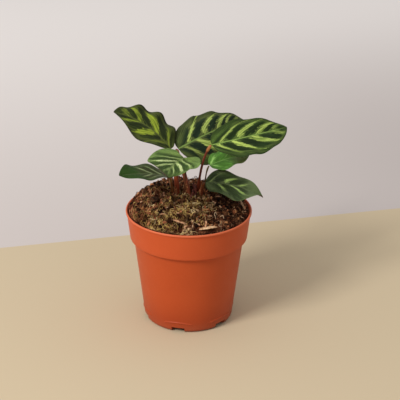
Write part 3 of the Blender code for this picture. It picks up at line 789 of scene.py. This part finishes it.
# The solids' own numbers, for stalks and blades alike. A row has one number, or one group, for each leaf from
# a to g. Angles are in degrees, and a pair is for the blade's left and right half.
LEAF_ROWS = dict(
    base=((-0.0157, 0.009, 0.1513), (-0.0094, 0.017, 0.1484), (0.0191, -0.0028, 0.1601),
          (-0.004, -0.006, 0.1495), (-0.0177, -0.004, 0.1323), (0.014, -0.006, 0.1271),
          (0.0175, 0.0044, 0.1385)),
    heading=(143.5, 39.5, 22, 242, 203, -8, 19.5),
    sweep=(42.5, 2, 14, 31.5, 20, 22, 2),
    rise=(43.5, 13, 5, 7, 16.5, 5, 20),
    droop=(29, 12, 6, 2, 7, 42, 26),
    roll=(-3, 34, 28, -6.5, -1, 28, 16),
    twist=(-27, 18, 8, -9.5, -25.5, -21, 0),
    length=(0.0593, 0.0745, 0.074, 0.0585, 0.0485, 0.0525, 0.0365),
    width=((0.018, 0.021), (0.020, 0.026), (0.019, 0.0225), (0.0225, 0.0215), (0.014, 0.0155), (0.013, 0.019),
           (0.0125, 0.013)),
    lift=((9.5, 5.5), (7.5, 0), (5.5, 13), (17, 11), (16, 5), (18, 11), (8.5, 10)),
    curl=(0.0018, 0.0036, 0.0012, -0.0005, 0.001, 0.0, 0.0016),
    lobe=(-0.0015, 0.0, 0.0005, 0.0055, 0.0027, -0.0006, 0.0005),
    wave=((0.004, 0.0027), (0.0021, 0.002), (0.0014, 0.0014), (-0.0012, 0.0042), (0.0011, 0.0021),
          (0.0022, 0.0043), (0.0013, 0.0016)),
    waves=((1.05, 3.9), (3.9, 3.1), (2.8, 3.5), (2.7, 0.95), (2.2, 1.75), (1.53, 1.5), (2.9, 1.8)),
    start=((0.24, 0.48), (0.79, 0.3), (0.18, 0.02), (-0.23, 0.28), (0.69, 0.81), (0.95, 0.98), (0.77, 0.36)),
    scallop=((0.0006, 0.0009), (-0.0002, 0.0006), (0.0001, 0.0003), (0.0008, 0.0004), (0.0005, 0.0005),
             (0.0006, 0.0006), (0.0004, 0.0006)),
    foot=((-0.0096, 0.005), (0.0005, 0.0005), (0.0073, 0.006), (-0.0048, -0.001), (-0.0138, 0.0025),
          (0.0115, 0.003), (0.0135, 0.011)),
    stalk=((0.0023, 0.0013, 1.0), (0.0022, 0.0013, 1.0), (0.0024, 0.001, 0.45), (0.0012, 0.0006, 0.5),
           (0.0015, 0.0008, 0.6), (0.0018, 0.0009, 0.8), (0.0012, 0.0006, 0.5)),
    reach=((0.65, 0.15), (0.8, 0.12), (0.45, 0.25), (0.45, 0.25), (0.45, 0.25), (0.45, 0.25), (0.45, 0.25)),
)
MIDRIB_STEPS = 400
HOLE_DEPTH = 0.012
HOLE_CLEAR = 0.001
STALK_LEAN = 0.3
STALK_END = 0.5
PULVINUS_LENGTH = 0.007
PULVINUS_SWELL = 1.3
STALK_RINGS = 90
STALK_SIDES = 24
STALK_RIDGES = 7
RIDGE_HEIGHT = 0.035
ROUNDED_END = (0.97, 0.86, 0.6)
FIRST_RIDGE = (0.25, -0.95, 0.1)
STREAK_STRETCH = (1.0, 1.0, 0.12)
STREAK_SCALE = 2600.0
STREAK_GAIN = 1.7
STALK_ROWS = dict(
    low_tone=((0.27, 0.052, 0.018), (0.20, 0.045, 0.016), (0.17, 0.030, 0.012), (0.11, 0.032, 0.012),
              (0.24, 0.07, 0.022), (0.17, 0.034, 0.013), (0.12, 0.045, 0.014)),
    high_tone=((0.20, 0.042, 0.016), (0.15, 0.036, 0.014), (0.080, 0.020, 0.011), (0.06, 0.032, 0.013),
               (0.16, 0.08, 0.022), (0.09, 0.028, 0.012), (0.11, 0.09, 0.028)),
    joint_tone=((0.22, 0.08, 0.02), (0.20, 0.07, 0.02), (0.46, 0.20, 0.06), (0.10, 0.10, 0.03),
                (0.16, 0.14, 0.04), (0.12, 0.06, 0.02), (0.14, 0.15, 0.04)),
)


def by_leaf(rows):
    """The rows of a table turned into one set of named numbers for each leaf."""
    return {letter: {key: row[at] for key, row in rows.items()} for at, letter in enumerate("abcdefg")}


def midrib(leaf, u):
    """Point, forward, left and up directions at each u along a blade.

    The heading and the pitch change evenly along the midrib, its point is the sum of the steps forward, and
    left and up are turned about it by a roll that also changes evenly.
    """
    middles = (np.arange(MIDRIB_STEPS) + 0.5) / MIDRIB_STEPS

    def directions(t):
        """The direction forward, and the level one to its left, at each share t of the length."""
        heading = np.radians(leaf["heading"] + leaf["sweep"] * t)
        pitch = np.radians(leaf["rise"] - leaf["droop"] * t)
        forward = [np.cos(pitch) * np.cos(heading), np.cos(pitch) * np.sin(heading), np.sin(pitch)]
        flat = [-np.sin(heading), np.cos(heading), np.zeros_like(heading)]
        return np.stack(forward, -1), np.stack(flat, -1)

    steps = directions(middles)[0] * leaf["length"] / MIDRIB_STEPS
    run = np.concatenate([np.zeros((1, 3)), np.cumsum(steps, 0)])
    ends = np.linspace(0, 1, MIDRIB_STEPS + 1)
    point = np.stack([np.interp(u, ends, run[:, axis]) for axis in range(3)], -1)
    forward, flat = directions(u)
    over = np.cross(forward, flat)
    roll = np.radians(leaf["roll"] + leaf["twist"] * u)[..., None]
    left = np.cos(roll) * flat + np.sin(roll) * over
    up = np.cos(roll) * over - np.sin(roll) * flat
    return point + np.array(leaf["base"]), forward, left, up


def stalk_line(leaf, t):
    """Points at each t of a cubic curve that leaves the mix upwards and meets the blade along its joint."""
    foot = np.array([*leaf["foot"], height_at(mound, *leaf["foot"])])
    forward = midrib(leaf, np.array([0.0]))[1][0]
    up = np.array([0.0, 0.0, 1.0])
    arrive = (up + forward) / np.linalg.norm(up + forward)
    top = np.array(leaf["base"]) - forward * (GAP + leaf["stalk"][1] * STALK_END)
    length = np.linalg.norm(top - foot)
    leave = up + (top - foot) / length * STALK_LEAN
    leave = leave / np.linalg.norm(leave)
    start = foot - leave * (HOLE_DEPTH - HOLE_CLEAR)
    first = start + leave * length * leaf["reach"][0]
    last = top - arrive * length * leaf["reach"][1]
    t = t[:, None]
    return (1 - t) ** 3 * start + 3 * (1 - t) ** 2 * t * first + 3 * (1 - t) * t**2 * last + t**3 * top


def stalk_radii(leaf, path):
    """Thick at the sheathed foot, slim above it, and swollen at the joint just under the blade."""
    run = run_along(path)
    foot, top, sheath = leaf["stalk"]
    radii = top + (foot - top) * np.sqrt(np.clip(1 - run / run[-1] / sheath, 0, 1))
    swell = np.clip((run - run[-1] + PULVINUS_LENGTH) / PULVINUS_LENGTH, 0, 1)
    radii = radii * (1 + (PULVINUS_SWELL - 1) * np.sin(math.pi * swell))
    return radii, run / run[-1], swell


def stretched(place, *scale):
    """A place with its three parts multiplied by a scale each."""
    return add(place, "Mapping", {"Vector": place, "Scale": scale})


def stalk_finish(letter, low_tone, high_tone, joint_tone):
    """Red-brown skin: one tone at the foot, one above and a third at the joint, streaked along the stalk."""
    made = finish("petiole_" + letter, 0.42, 0.3)
    share, swell = (add(made, "Attribute", {}, "Fac", attribute_name=name) for name in ("share", "swell"))
    streaks = noise(stretched(object_place(made), *STREAK_STRETCH), STREAK_SCALE, 3.0)
    tone = blend(step_up(share, 0.1, 0.6), low_tone, high_tone)
    tone = blend(step_up(swell, 0.0, 0.35), tone, joint_tone)
    tone = blend(step_up(streaks, 0.35, 0.75), tone, tuple(c * STREAK_GAIN for c in low_tone))
    return to_shader(made, Base_Color=tone, Normal=bump(streaks, 0.00012))


LEAVES, STALK_LOOKS = by_leaf(LEAF_ROWS), by_leaf(STALK_ROWS)
for letter, leaf in LEAVES.items():
    path = stalk_line(leaf, np.linspace(0, 1, STALK_RINGS))
    radii, share, swell = stalk_radii(leaf, path)
    radii[-3:] *= np.array(ROUNDED_END)
    around = np.linspace(0, math.tau, STALK_SIDES, endpoint=False)
    ridged = 1 + RIDGE_HEIGHT * np.cos(STALK_RIDGES * around) * (1 - swell)[:, None] ** 2
    rings, poles = tubes(path[None], radii[None], STALK_SIDES, FIRST_RIDGE)
    rings = path[None, :, None] + (rings - path[None, :, None]) * ridged[None, ..., None]
    skin = stalk_finish(letter, **STALK_LOOKS[letter])
    stalk = closed_skin("stalk_" + letter, rings, poles, skin, share=share[:, None], swell=swell[:, None])
    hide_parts("petiole_" + letter)
    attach(stalk, "root")


# The blades. Thin leaves with a pale midrib, pleated along side veins that sweep towards the tip, light bands
# between dark green ovals, and dull purple under. Each is a closed shell round the solids' curved surface.

BLADE_BASE = 0.0009
BASE_FADE = 6
CURL_WIDTH = 0.02
LOBE_START = 0.03
LOBE_REACH = 0.35
OUTLINE_BASE = 0.52
OUTLINE_TIP = 0.78
ROW_CROWDING = 0.08
COLUMN_CROWDING = 0.1
PLEAT_FADE = (0.12, 0.25)
PLEAT_SHARPNESS = 0.8
PLEAT_MIDDLE = 0.55
BODY_POWER = 6
RIB_FADE = 0.6
RIB_TONE_FADE = 0.35
BLADE_RINGS = 132
BLADE_COLUMNS = 52
BLADE_THICKNESS = 0.00042
MARGIN_THICKNESS = 0.00012
RIB_DEPTH = 0.00025
RIB_STAND = 0.0008
RIB_WIDTH = 0.0006
BAND_PLACES = 0.8
BAND_SPACE = 0.25
LEAST_SPACE = 0.05
NO_BAND = -0.03
BAND_SWELL = ((0, 0.1, 0.3, 0.55, 0.72, 0.83, 1), (0.3, 0.65, 1, 0.9, 0.5, 0, -0.4))
VEIN_SLANT = 0.7
PLEATS = 3.4
OTHER_HALF = 20.0
# A leaf's light bands, for its left and its right half: where a band meets the midrib, where it is halfway
# out and four fifths of the way out, as shares of the length, its half-width and its brightness.
BANDS = {
    "a": (
        ((0.12, 0.18, 0.28, 0.035, 0.3), (0.35, 0.43, 0.58, 0.080, 0.9), (0.60, 0.76, 0.86, 0.040, 0.8)),
        ((0.05, 0.165, 0.27, 0.032, 0.6), (0.31, 0.44, 0.585, 0.075, 1), (0.585, 0.675, 0.78, 0.034, 0.8),
         (0.77, 0.84, 0.87, 0.040, 0.4)),
    ),
    "b": (
        ((0.15, 0.26, 0.40, 0.030, 1), (0.40, 0.485, 0.66, 0.046, 0.9), (0.62, 0.69, 0.81, 0.040, 0.9),
         (0.74, 0.79, 0.87, 0.018, 0.6), (0.87, 0.91, 0.96, 0.022, 0.5)),
        ((0.08, 0.17, 0.27, 0.022, 0.6), (0.28, 0.40, 0.50, 0.055, 1), (0.55, 0.63, 0.75, 0.035, 0.9),
         (0.78, 0.84, 0.90, 0.025, 0.6)),
    ),
    "c": (
        ((0.11, 0.22, 0.46, 0.028, 0.65), (0.335, 0.45, 0.665, 0.054, 0.75), (0.595, 0.705, 0.86, 0.048, 0.8),
         (0.79, 0.855, 0.94, 0.026, 0.35)),
        ((0.09, 0.11, 0.30, 0.032, 0.8), (0.265, 0.335, 0.53, 0.040, 1), (0.50, 0.61, 0.80, 0.055, 0.9),
         (0.79, 0.87, 0.93, 0.030, 0.55)),
    ),
    "d": (
        ((0.10, 0.33, 0.56, 0.024, 0.4), (0.27, 0.56, 0.83, 0.050, 1), (0.45, 0.88, 1.15, 0.034, 0.6)),
        ((0.10, 0.24, 0.36, 0.014, 0.3), (0.21, 0.41, 0.52, 0.036, 0.9), (0.36, 0.60, 0.80, 0.034, 0.8),
         (0.60, 0.85, 1.00, 0.020, 0.4)),
    ),
    "e": (
        ((0.06, 0.23, 0.50, 0.030, 0.7), (0.28, 0.52, 0.78, 0.036, 1)),
        ((0.13, 0.23, 0.37, 0.028, 0.8), (0.30, 0.44, 0.57, 0.026, 1)),
    ),
    "f": (
        ((0.08, 0.13, 0.25, 0.010, 0.4), (0.30, 0.40, 0.57, 0.034, 1), (0.55, 0.655, 0.76, 0.020, 0.8)),
        ((0.20, 0.285, 0.34, 0.022, 0.9), (0.40, 0.56, 0.68, 0.028, 1), (0.66, 0.78, 0.85, 0.014, 0.5)),
    ),
    "g": (
        ((0.02, 0.12, 0.25, 0.06, 0.8), (0.40, 0.50, 0.62, 0.010, 0.2)),
        ((0.02, 0.10, 0.20, 0.04, 0.8), (0.35, 0.45, 0.55, 0.010, 0.2)),
    ),
}
# A row has one tone, pair or number for each leaf from a to g. tip_from is where the tip's tone starts and is
# full, oval is an oval's middle and reach across a half, and fade is where the bands have gone and are full.
# Leaf d's tones are paler all over: its own colour with painted sheen. Leaf f's tones are raised all over and
# leaf g's tip is lighter: painted light where those leaves lie in shade.
LEAF_LOOKS = by_leaf(dict(
    light=((0.32, 0.41, 0.040), (0.44, 0.56, 0.135), (0.50, 0.65, 0.145), (0.80, 0.93, 0.44),
           (0.38, 0.46, 0.22), (0.50, 0.72, 0.19), (0.34, 0.62, 0.16)),
    dull=((0.075, 0.095, 0.020), (0.09, 0.115, 0.035), (0.085, 0.125, 0.030), (0.21, 0.31, 0.085),
          (0.11, 0.15, 0.06), (0.14, 0.18, 0.075), (0.12, 0.25, 0.052)),
    green=((0.060, 0.080, 0.016), (0.060, 0.085, 0.024), (0.062, 0.110, 0.022), (0.170, 0.265, 0.062),
           (0.078, 0.112, 0.042), (0.088, 0.128, 0.044), (0.070, 0.190, 0.026)),
    margin=((0.029, 0.037, 0.012), (0.046, 0.063, 0.020), (0.030, 0.055, 0.012), (0.165, 0.270, 0.068),
            (0.058, 0.085, 0.030), (0.050, 0.075, 0.022), (0.076, 0.190, 0.030)),
    dark=((0.017, 0.026, 0.006), (0.012, 0.023, 0.011), (0.012, 0.025, 0.006), (0.034, 0.070, 0.011),
          (0.040, 0.053, 0.013), (0.027, 0.045, 0.013), (0.058, 0.160, 0.020)),
    rib=((0.10, 0.125, 0.03), (0.20, 0.31, 0.075), (0.24, 0.37, 0.085), (0.24, 0.32, 0.12),
         (0.11, 0.14, 0.06), (0.12, 0.16, 0.065), (0.20, 0.40, 0.09)),
    tip=((0.05, 0.065, 0.02), (0.08, 0.11, 0.04), (0.05, 0.085, 0.02), (0.10, 0.165, 0.034),
         (0.028, 0.076, 0.007), (0.135, 0.195, 0.072), (0.19, 0.28, 0.070)),
    tip_from=((0.85, 1.0), (0.9, 1.0), (0.88, 1.0), (0.7, 0.95), (0.45, 0.65), (0.6, 0.78), (0.42, 0.75)),
    oval=((0.40, 0.40), (0.38, 0.36), (0.40, 0.38), (0.46, 0.48), (0.42, 0.40), (0.46, 0.48), (0.42, 0.40)),
    fade=((1.2, 0.8), (1.2, 0.8), (1.2, 0.8), (1.1, 0.6), (1.1, 0.6), (0.75, 0.25), (0.9, 0.4)),
    ring=(0.7, 0.8, 0.6, 0.2, 0.2, 0.3, 0.0),
    thread=(0.38, 0.38, 0.38, 0.60, 0.75, 0.45, 0.75),
    gloss=(0.08, 0.08, 0.08, 0.2, 0.2, 0.2, 0.15),
    pleat=(0.00020, 0.00020, 0.00020, 0.00040, 0.00022, 0.00020, 0.00012),
    relief=(0.0003, 0.0003, 0.0003, 0.0012, 0.0005, 0.0005, 0.0003),
))
UNDER_GREEN = (0.13, 0.12, 0.09)
UNDER_PURPLE = (0.11, 0.045, 0.055)
UNDER_RIB = (0.20, 0.10, 0.07)
THREAD_TINTS = ((1.35, 1.35, 1.3), (0.68, 0.7, 0.7))
THREAD_HUE = (0.96, 1.1, 0.85)
FEATHER_STRETCH = (8.0, 5.0, 1.0)
THREAD_STRETCH = (12.0, 2.2, 1.0)


def outline(u):
    """Share of the half-width at u: a power of u times a power of what is left, scaled to peak at one."""
    peak = OUTLINE_BASE / (OUTLINE_BASE + OUTLINE_TIP)
    highest = peak**OUTLINE_BASE * (1 - peak) ** OUTLINE_TIP
    return u**OUTLINE_BASE * (1 - u) ** OUTLINE_TIP / highest


def sheet_points(leaf, u, v):
    """Middle surface of a blade at u along it and v across it, from -1 at the right margin to 1 at the left.

    Each half lifts by its own angle, curls down by the square of v and waves at the margin by a sine of u.
    """
    point, forward, left, up = midrib(leaf, u)

    def half(key):
        """The leaf's number for the half that each point lies in."""
        return np.where(v >= 0, leaf[key][0], leaf[key][1])

    reach = np.abs(v)
    fade = np.sqrt(np.sin(math.pi * np.clip(u, 0, 1)))
    turn = math.tau * (half("waves") * u + half("start"))
    width = half("width") * outline(u) + half("scallop") * np.cos(turn) * fade * reach
    width = width + BLADE_BASE * (1 - u) ** BASE_FADE
    lift = np.radians(half("lift"))
    across = reach * width
    rise = across * np.sin(lift) - leaf["curl"] * reach**2 * width / CURL_WIDTH
    rise = rise + half("wave") * np.sin(turn) * fade * reach**2
    back = leaf["lobe"] * reach**2 * np.clip(1 - u / LOBE_REACH, 0, 1) ** 2 * np.clip(u / LOBE_START, 0, 1)
    sideways = np.sign(v) * across * np.cos(lift)
    points = point + sideways[..., None] * left + rise[..., None] * up - back[..., None] * forward
    return points, up, across


def band_pattern(u, v, bands):
    """The order, half-width and shine of the light bands at each point of a blade.

    The order is 1 on the first band's middle line, 2 on the second's and so on, and grows evenly between. A
    middle line is the parabola through three places: at the midrib, halfway out and at four fifths of the
    way out. The half-width is the nearest band's, swollen a third of the way out, as a share of the space
    between the lines.
    """
    reach = np.abs(v)
    out = reach / BAND_PLACES
    order, width, shine = np.zeros(u.shape), np.zeros(u.shape), np.zeros(u.shape)
    for side, rows in zip((v >= 0, v < 0), bands):
        lines = [a * (1 - out) * (1 - 2 * out) + 4 * b * out * (1 - out) + c * out * (2 * out - 1)
                 for a, b, c, _, _ in rows]
        lines = np.stack([lines[0] - BAND_SPACE, *lines, lines[-1] + BAND_SPACE])
        spaces = np.maximum(np.diff(lines, axis=0), LEAST_SPACE)
        runs = (u - lines[:-1]) / spaces
        count = np.clip(runs, 0, 1).sum(0) + np.minimum(runs[0], 0) + np.maximum(runs[-1] - 1, 0)
        last = len(rows)
        space = np.take_along_axis(spaces, np.clip(np.floor(count), 0, last).astype(int)[None], 0)[0]
        nearest = np.clip(np.rint(count), 0, last + 1).astype(int)
        half = np.array([NO_BAND, *[row[3] for row in rows], NO_BAND])[nearest]
        glow = np.array([0, *[row[4] for row in rows], 0])[nearest]
        order = np.where(side, count, order)
        width = np.where(side, half * np.interp(reach, *BAND_SWELL) / space, width)
        shine = np.where(side, glow, shine)
    return order, width, shine


def blade_rings(leaf, bands, depth):
    """Rings round a blade from base to tip: across its top from right to left, and back under it.

    The two faces lie half a thickness either side of the middle surface, thinner towards the margin. The
    top is pleated along the side veins and sunk along the midrib, which stands out below. Also returned are
    the numbers that the skin's pattern is made from.
    """
    even = np.linspace(0, 1, BLADE_RINGS + 2)[1:-1]
    u = (even - ROW_CROWDING * np.sin(math.tau * even))[:, None]
    x = np.linspace(-1, 1, BLADE_COLUMNS)
    half = x - COLUMN_CROWDING * np.sin(math.tau * x)
    v = np.concatenate([half, half[-2:0:-1]])[None]
    side = np.concatenate([np.ones(BLADE_COLUMNS), -np.ones(BLADE_COLUMNS - 2)])[None]
    side = side * (np.abs(v) < 1)
    u, v, side = np.broadcast_arrays(u, v, side)
    points, up, across = sheet_points(leaf, u, v)
    order, width, shine = band_pattern(u, v, bands)
    reach = np.abs(v)
    vein = order - VEIN_SLANT * reach
    inner = np.clip(reach / PLEAT_FADE[0], 0, 1) * np.clip((1 - reach) / PLEAT_FADE[1], 0, 1)
    pleat = depth * (np.abs(np.sin(math.pi * PLEATS * vein)) ** PLEAT_SHARPNESS - PLEAT_MIDDLE) * inner
    ridge = np.exp(-((across / RIB_WIDTH) ** 2))
    body = MARGIN_THICKNESS + (BLADE_THICKNESS - MARGIN_THICKNESS) * (1 - reach**BODY_POWER)
    stand = np.where(side > 0, RIB_DEPTH, 0) + np.where(side < 0, RIB_STAND, 0)
    offset = side * body / 2 + pleat - stand * ridge * (1 - u) ** RIB_FADE
    pattern = dict(order=order, vein=vein + OTHER_HALF * (v < 0), width=width, shine=shine, reach=reach,
                   share=u, rib=ridge * (1 - u) ** RIB_TONE_FADE, face=side)
    return points + offset[..., None] * up, pattern


def blade_finish(letter, look):
    """A leaf's skin: light bands, dark ovals and a green between them that darkens to the margin.

    The order of the bands is folded to the distance from the nearest band's middle line. A place is in a
    band where that is under the half-width, in an oval where the squares of its distances from the oval's
    middle, along and across the leaf, sum to less than one, and in the ring round it up to twice that.
    Streaks along the side veins make every edge uneven, threads tint each tone, and the purple underside
    shows the bands faintly.
    """
    made = finish("leaf_" + letter, 0.40, look["gloss"])
    order, vein, width, shine, reach, share, rib, face = (
        add(made, "Attribute", {}, "Fac", attribute_name=name)
        for name in ("order", "vein", "width", "shine", "reach", "share", "rib", "face"))
    grid = add(made, "CombineXYZ", {0: vein, 1: reach})
    streaks = noise(stretched(grid, *FEATHER_STRETCH), 1.0, 3.0, 0.6)
    threads = noise(stretched(grid, *THREAD_STRETCH), 1.0)
    patches = noise(object_place(made), 260.0, 3.0)
    uneven = spread(streaks, -0.4, 0.4, 0.3, 0.7)
    outside = order.sum_up("PINGPONG", 0.5) - width
    light = step_up(uneven * 0.45 - outside, -0.02, 0.03) * step_up(reach, *look["fade"])

    middle, span = look["oval"]
    off_along, off_across = 1.0 - outside / (0.5 - width), (reach - middle) / span
    past = off_along * off_along + off_across * off_across - uneven * 1.2
    inner = step_up(order, 0.2, 0.8)
    dark = step_up(past, 1.15, 0.75) * inner
    ring = step_up(past, 0.85, 1.15) * step_up(past, 2.1, 1.4) * inner * look["ring"]

    green = blend(step_up(patches, 0.3, 0.7), look["green"], tuple(c * 1.3 for c in look["green"]))
    tone = blend(step_up(reach + uneven * 0.3, 0.55, 0.9), green, look["margin"])
    tone = blend(step_up(threads, 0.42, 0.58), *(tinted(tone, tint) for tint in THREAD_TINTS))
    oval = blend(step_up(threads, 0.5, 0.65), look["dark"], tuple(c * 2.2 for c in look["dark"]))
    tone = blend(ring, blend(dark, tone, oval), look["dull"])
    thread = tuple(look["thread"] * share_of for share_of in THREAD_HUE)
    band = blend(step_up(threads, 0.48, 0.58), blend(shine, look["dull"], look["light"]), thread, "MULTIPLY")
    tone = blend(light, tone, band)
    tone = blend(step_up(share + uneven * 0.2, *look["tip_from"]), tone, look["tip"])
    on_rib = step_up(rib, 0.2, 0.7)
    below = blend(on_rib, blend(light * 0.6, UNDER_PURPLE, UNDER_GREEN), UNDER_RIB)
    tone = blend(step_up(face, -0.1, 0.1), below, blend(on_rib, tone, look["rib"]))
    return to_shader(made, Base_Color=tone, Roughness=spread(patches, 0.34, 0.48),
                     Normal=bump(threads, look["relief"]))


for letter, leaf in LEAVES.items():
    look = LEAF_LOOKS[letter]
    rings, pattern = blade_rings(leaf, BANDS[letter], look["pleat"])
    ends = midrib(leaf, np.array([0.0, 1.0]))[0]
    blade = closed_skin("blade_" + letter, rings[None], ends[None], blade_finish(letter, look), **pattern)
    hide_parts("leaf_" + letter)
    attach(blade, "root")


# The set. A pale beige sheet under the pot, with a pinkish grey one behind it whose edge rises to the right
# and whose tone is painted lighter far back and painted darker at the right, as light and shade on a wall;
# one large soft lamp at the front left, and pale light all round that is brighter from above.

SHEET_EDGE = ((-0.185, 0.122), (0.219, 0.223))
SET_REACH = 6.0
PAPER_STEP = 0.0002
BEIGE = ((0.585, 0.485, 0.335), (0.605, 0.505, 0.35))
GREY_SHADED_NEAR, GREY_LIT_FAR, GREY_SHADED_RIGHT = (0.58, 0.53, 0.515), (0.887, 0.854, 0.843), (0.53, 0.485, 0.475)
PAINTED_LIGHT_DRIFT = (0.15, 0.85)
SHADED_RIGHT_WIDTH = 0.36
SHADED_RIGHT_DEPTH = (0.75, 0.1)
LAMP_AIM = (0.0, 0.0, 0.1)
LAMP_TURN, LAMP_LIFT = math.radians(-47), math.radians(40)
LAMP_DISTANCE = 2.2
LAMP_SIZE = 0.65
LAMP_POWER = 34.0
LAMP_COLOUR = (1.0, 0.965, 0.92)
SKY_COLOUR = (0.93, 0.90, 0.88, 1)
SKY_STRENGTH = (0.16, 0.92)


def ground(name, corners, height, paper):
    """A flat four-sided sheet on the ground."""
    mesh = bpy.data.meshes.new(name)
    mesh.from_pydata([(x, y, height) for x, y in corners], [], [(0, 1, 2, 3)])
    mesh.materials.append(paper)
    obj = bpy.data.objects.new(name, mesh)
    bpy.context.collection.objects.link(obj)


start, end = np.array(SHEET_EDGE)
edge = (end - start) / np.linalg.norm(end - start)
inward = np.array([-edge[1], edge[0]])
left_end, right_end = start - edge * SET_REACH, end + edge * SET_REACH

beige_paper = finish("beige_paper", 0.9, 0.2)
to_shader(beige_paper, Base_Color=blend(noise(object_place(beige_paper), 3.0), *BEIGE))
ground("beige_sheet", [left_end - inward * SET_REACH, right_end - inward * SET_REACH, right_end, left_end],
       0.0, beige_paper)

grey_paper = finish("grey_paper", 0.9, 0.2)
place = object_place(grey_paper)
place = add(place, "Mapping", {"Vector": place, "Rotation": (0, 0, -math.atan2(edge[1], edge[0]))})
along, behind = (add(place, "SeparateXYZ", {0: place}, axis) for axis in ("X", "Y"))
front = float(start @ inward)
# Painted light and shade: the grey sheet is lighter far back and darker at the right.
tone = blend(step_up(behind, front - PAINTED_LIGHT_DRIFT[0], front + PAINTED_LIGHT_DRIFT[1]), GREY_SHADED_NEAR, GREY_LIT_FAR)
painted_shade_right = step_up(along, 0.0, SHADED_RIGHT_WIDTH) * step_up(behind, front + SHADED_RIGHT_DEPTH[0], front - SHADED_RIGHT_DEPTH[1])
to_shader(grey_paper, Base_Color=blend(painted_shade_right, tone, GREY_SHADED_RIGHT))
ground("grey_sheet", [left_end, right_end, right_end + inward * SET_REACH, left_end + inward * SET_REACH],
       -PAPER_STEP, grey_paper)

light = bpy.data.lights.new("key_lamp", "AREA")
light.size, light.energy, light.color = LAMP_SIZE, LAMP_POWER, LAMP_COLOUR
key_lamp = bpy.data.objects.new("key_lamp", light)
flat = math.cos(LAMP_LIFT)
toward = np.array([math.sin(LAMP_TURN) * flat, -math.cos(LAMP_TURN) * flat, math.sin(LAMP_LIFT)])
key_lamp.location = np.array(LAMP_AIM) + toward * LAMP_DISTANCE
key_lamp.rotation_euler = (math.pi / 2 - LAMP_LIFT, 0, LAMP_TURN)
bpy.context.collection.objects.link(key_lamp)

world = bpy.data.worlds.new("studio")
world.use_nodes = True
sky = world.node_tree.nodes["Background"]
upward = add(world, "SeparateXYZ", {0: add(world, "TexCoord", {}, "Generated")}, "Z")
world.node_tree.links.new(spread(upward, *SKY_STRENGTH).socket, sky.inputs["Strength"])
sky.inputs["Color"].default_value = SKY_COLOUR
bpy.context.scene.world = world
bpy.context.scene.view_settings.view_transform = "Standard"


# The camera. It stands a little over a metre in front of the pot and looks down on it, as in the photograph.

CAMERA_TARGET = (0.0095, 0.0, 0.1083)
CAMERA_DISTANCE = 1.1
CAMERA_HEIGHT_ANGLE = 24.35
CAMERA_ROLL = 0.48
CAMERA_LENS = 116.0
down = math.radians(CAMERA_HEIGHT_ANGLE)
camera_data = bpy.data.cameras.new("camera")
camera_data.lens = CAMERA_LENS
camera = bpy.data.objects.new("camera", camera_data)
camera.location = np.array(CAMERA_TARGET) + CAMERA_DISTANCE * np.array([0, -math.cos(down), math.sin(down)])
camera.rotation_mode = "XYZ"
camera.rotation_euler = (math.pi / 2 - down, 0, 0)
camera.rotation_euler.rotate_axis("Z", math.radians(CAMERA_ROLL))
bpy.context.collection.objects.link(camera)
bpy.context.scene.camera = camera


# The view layer is brought up to date.

bpy.context.view_layer.update()
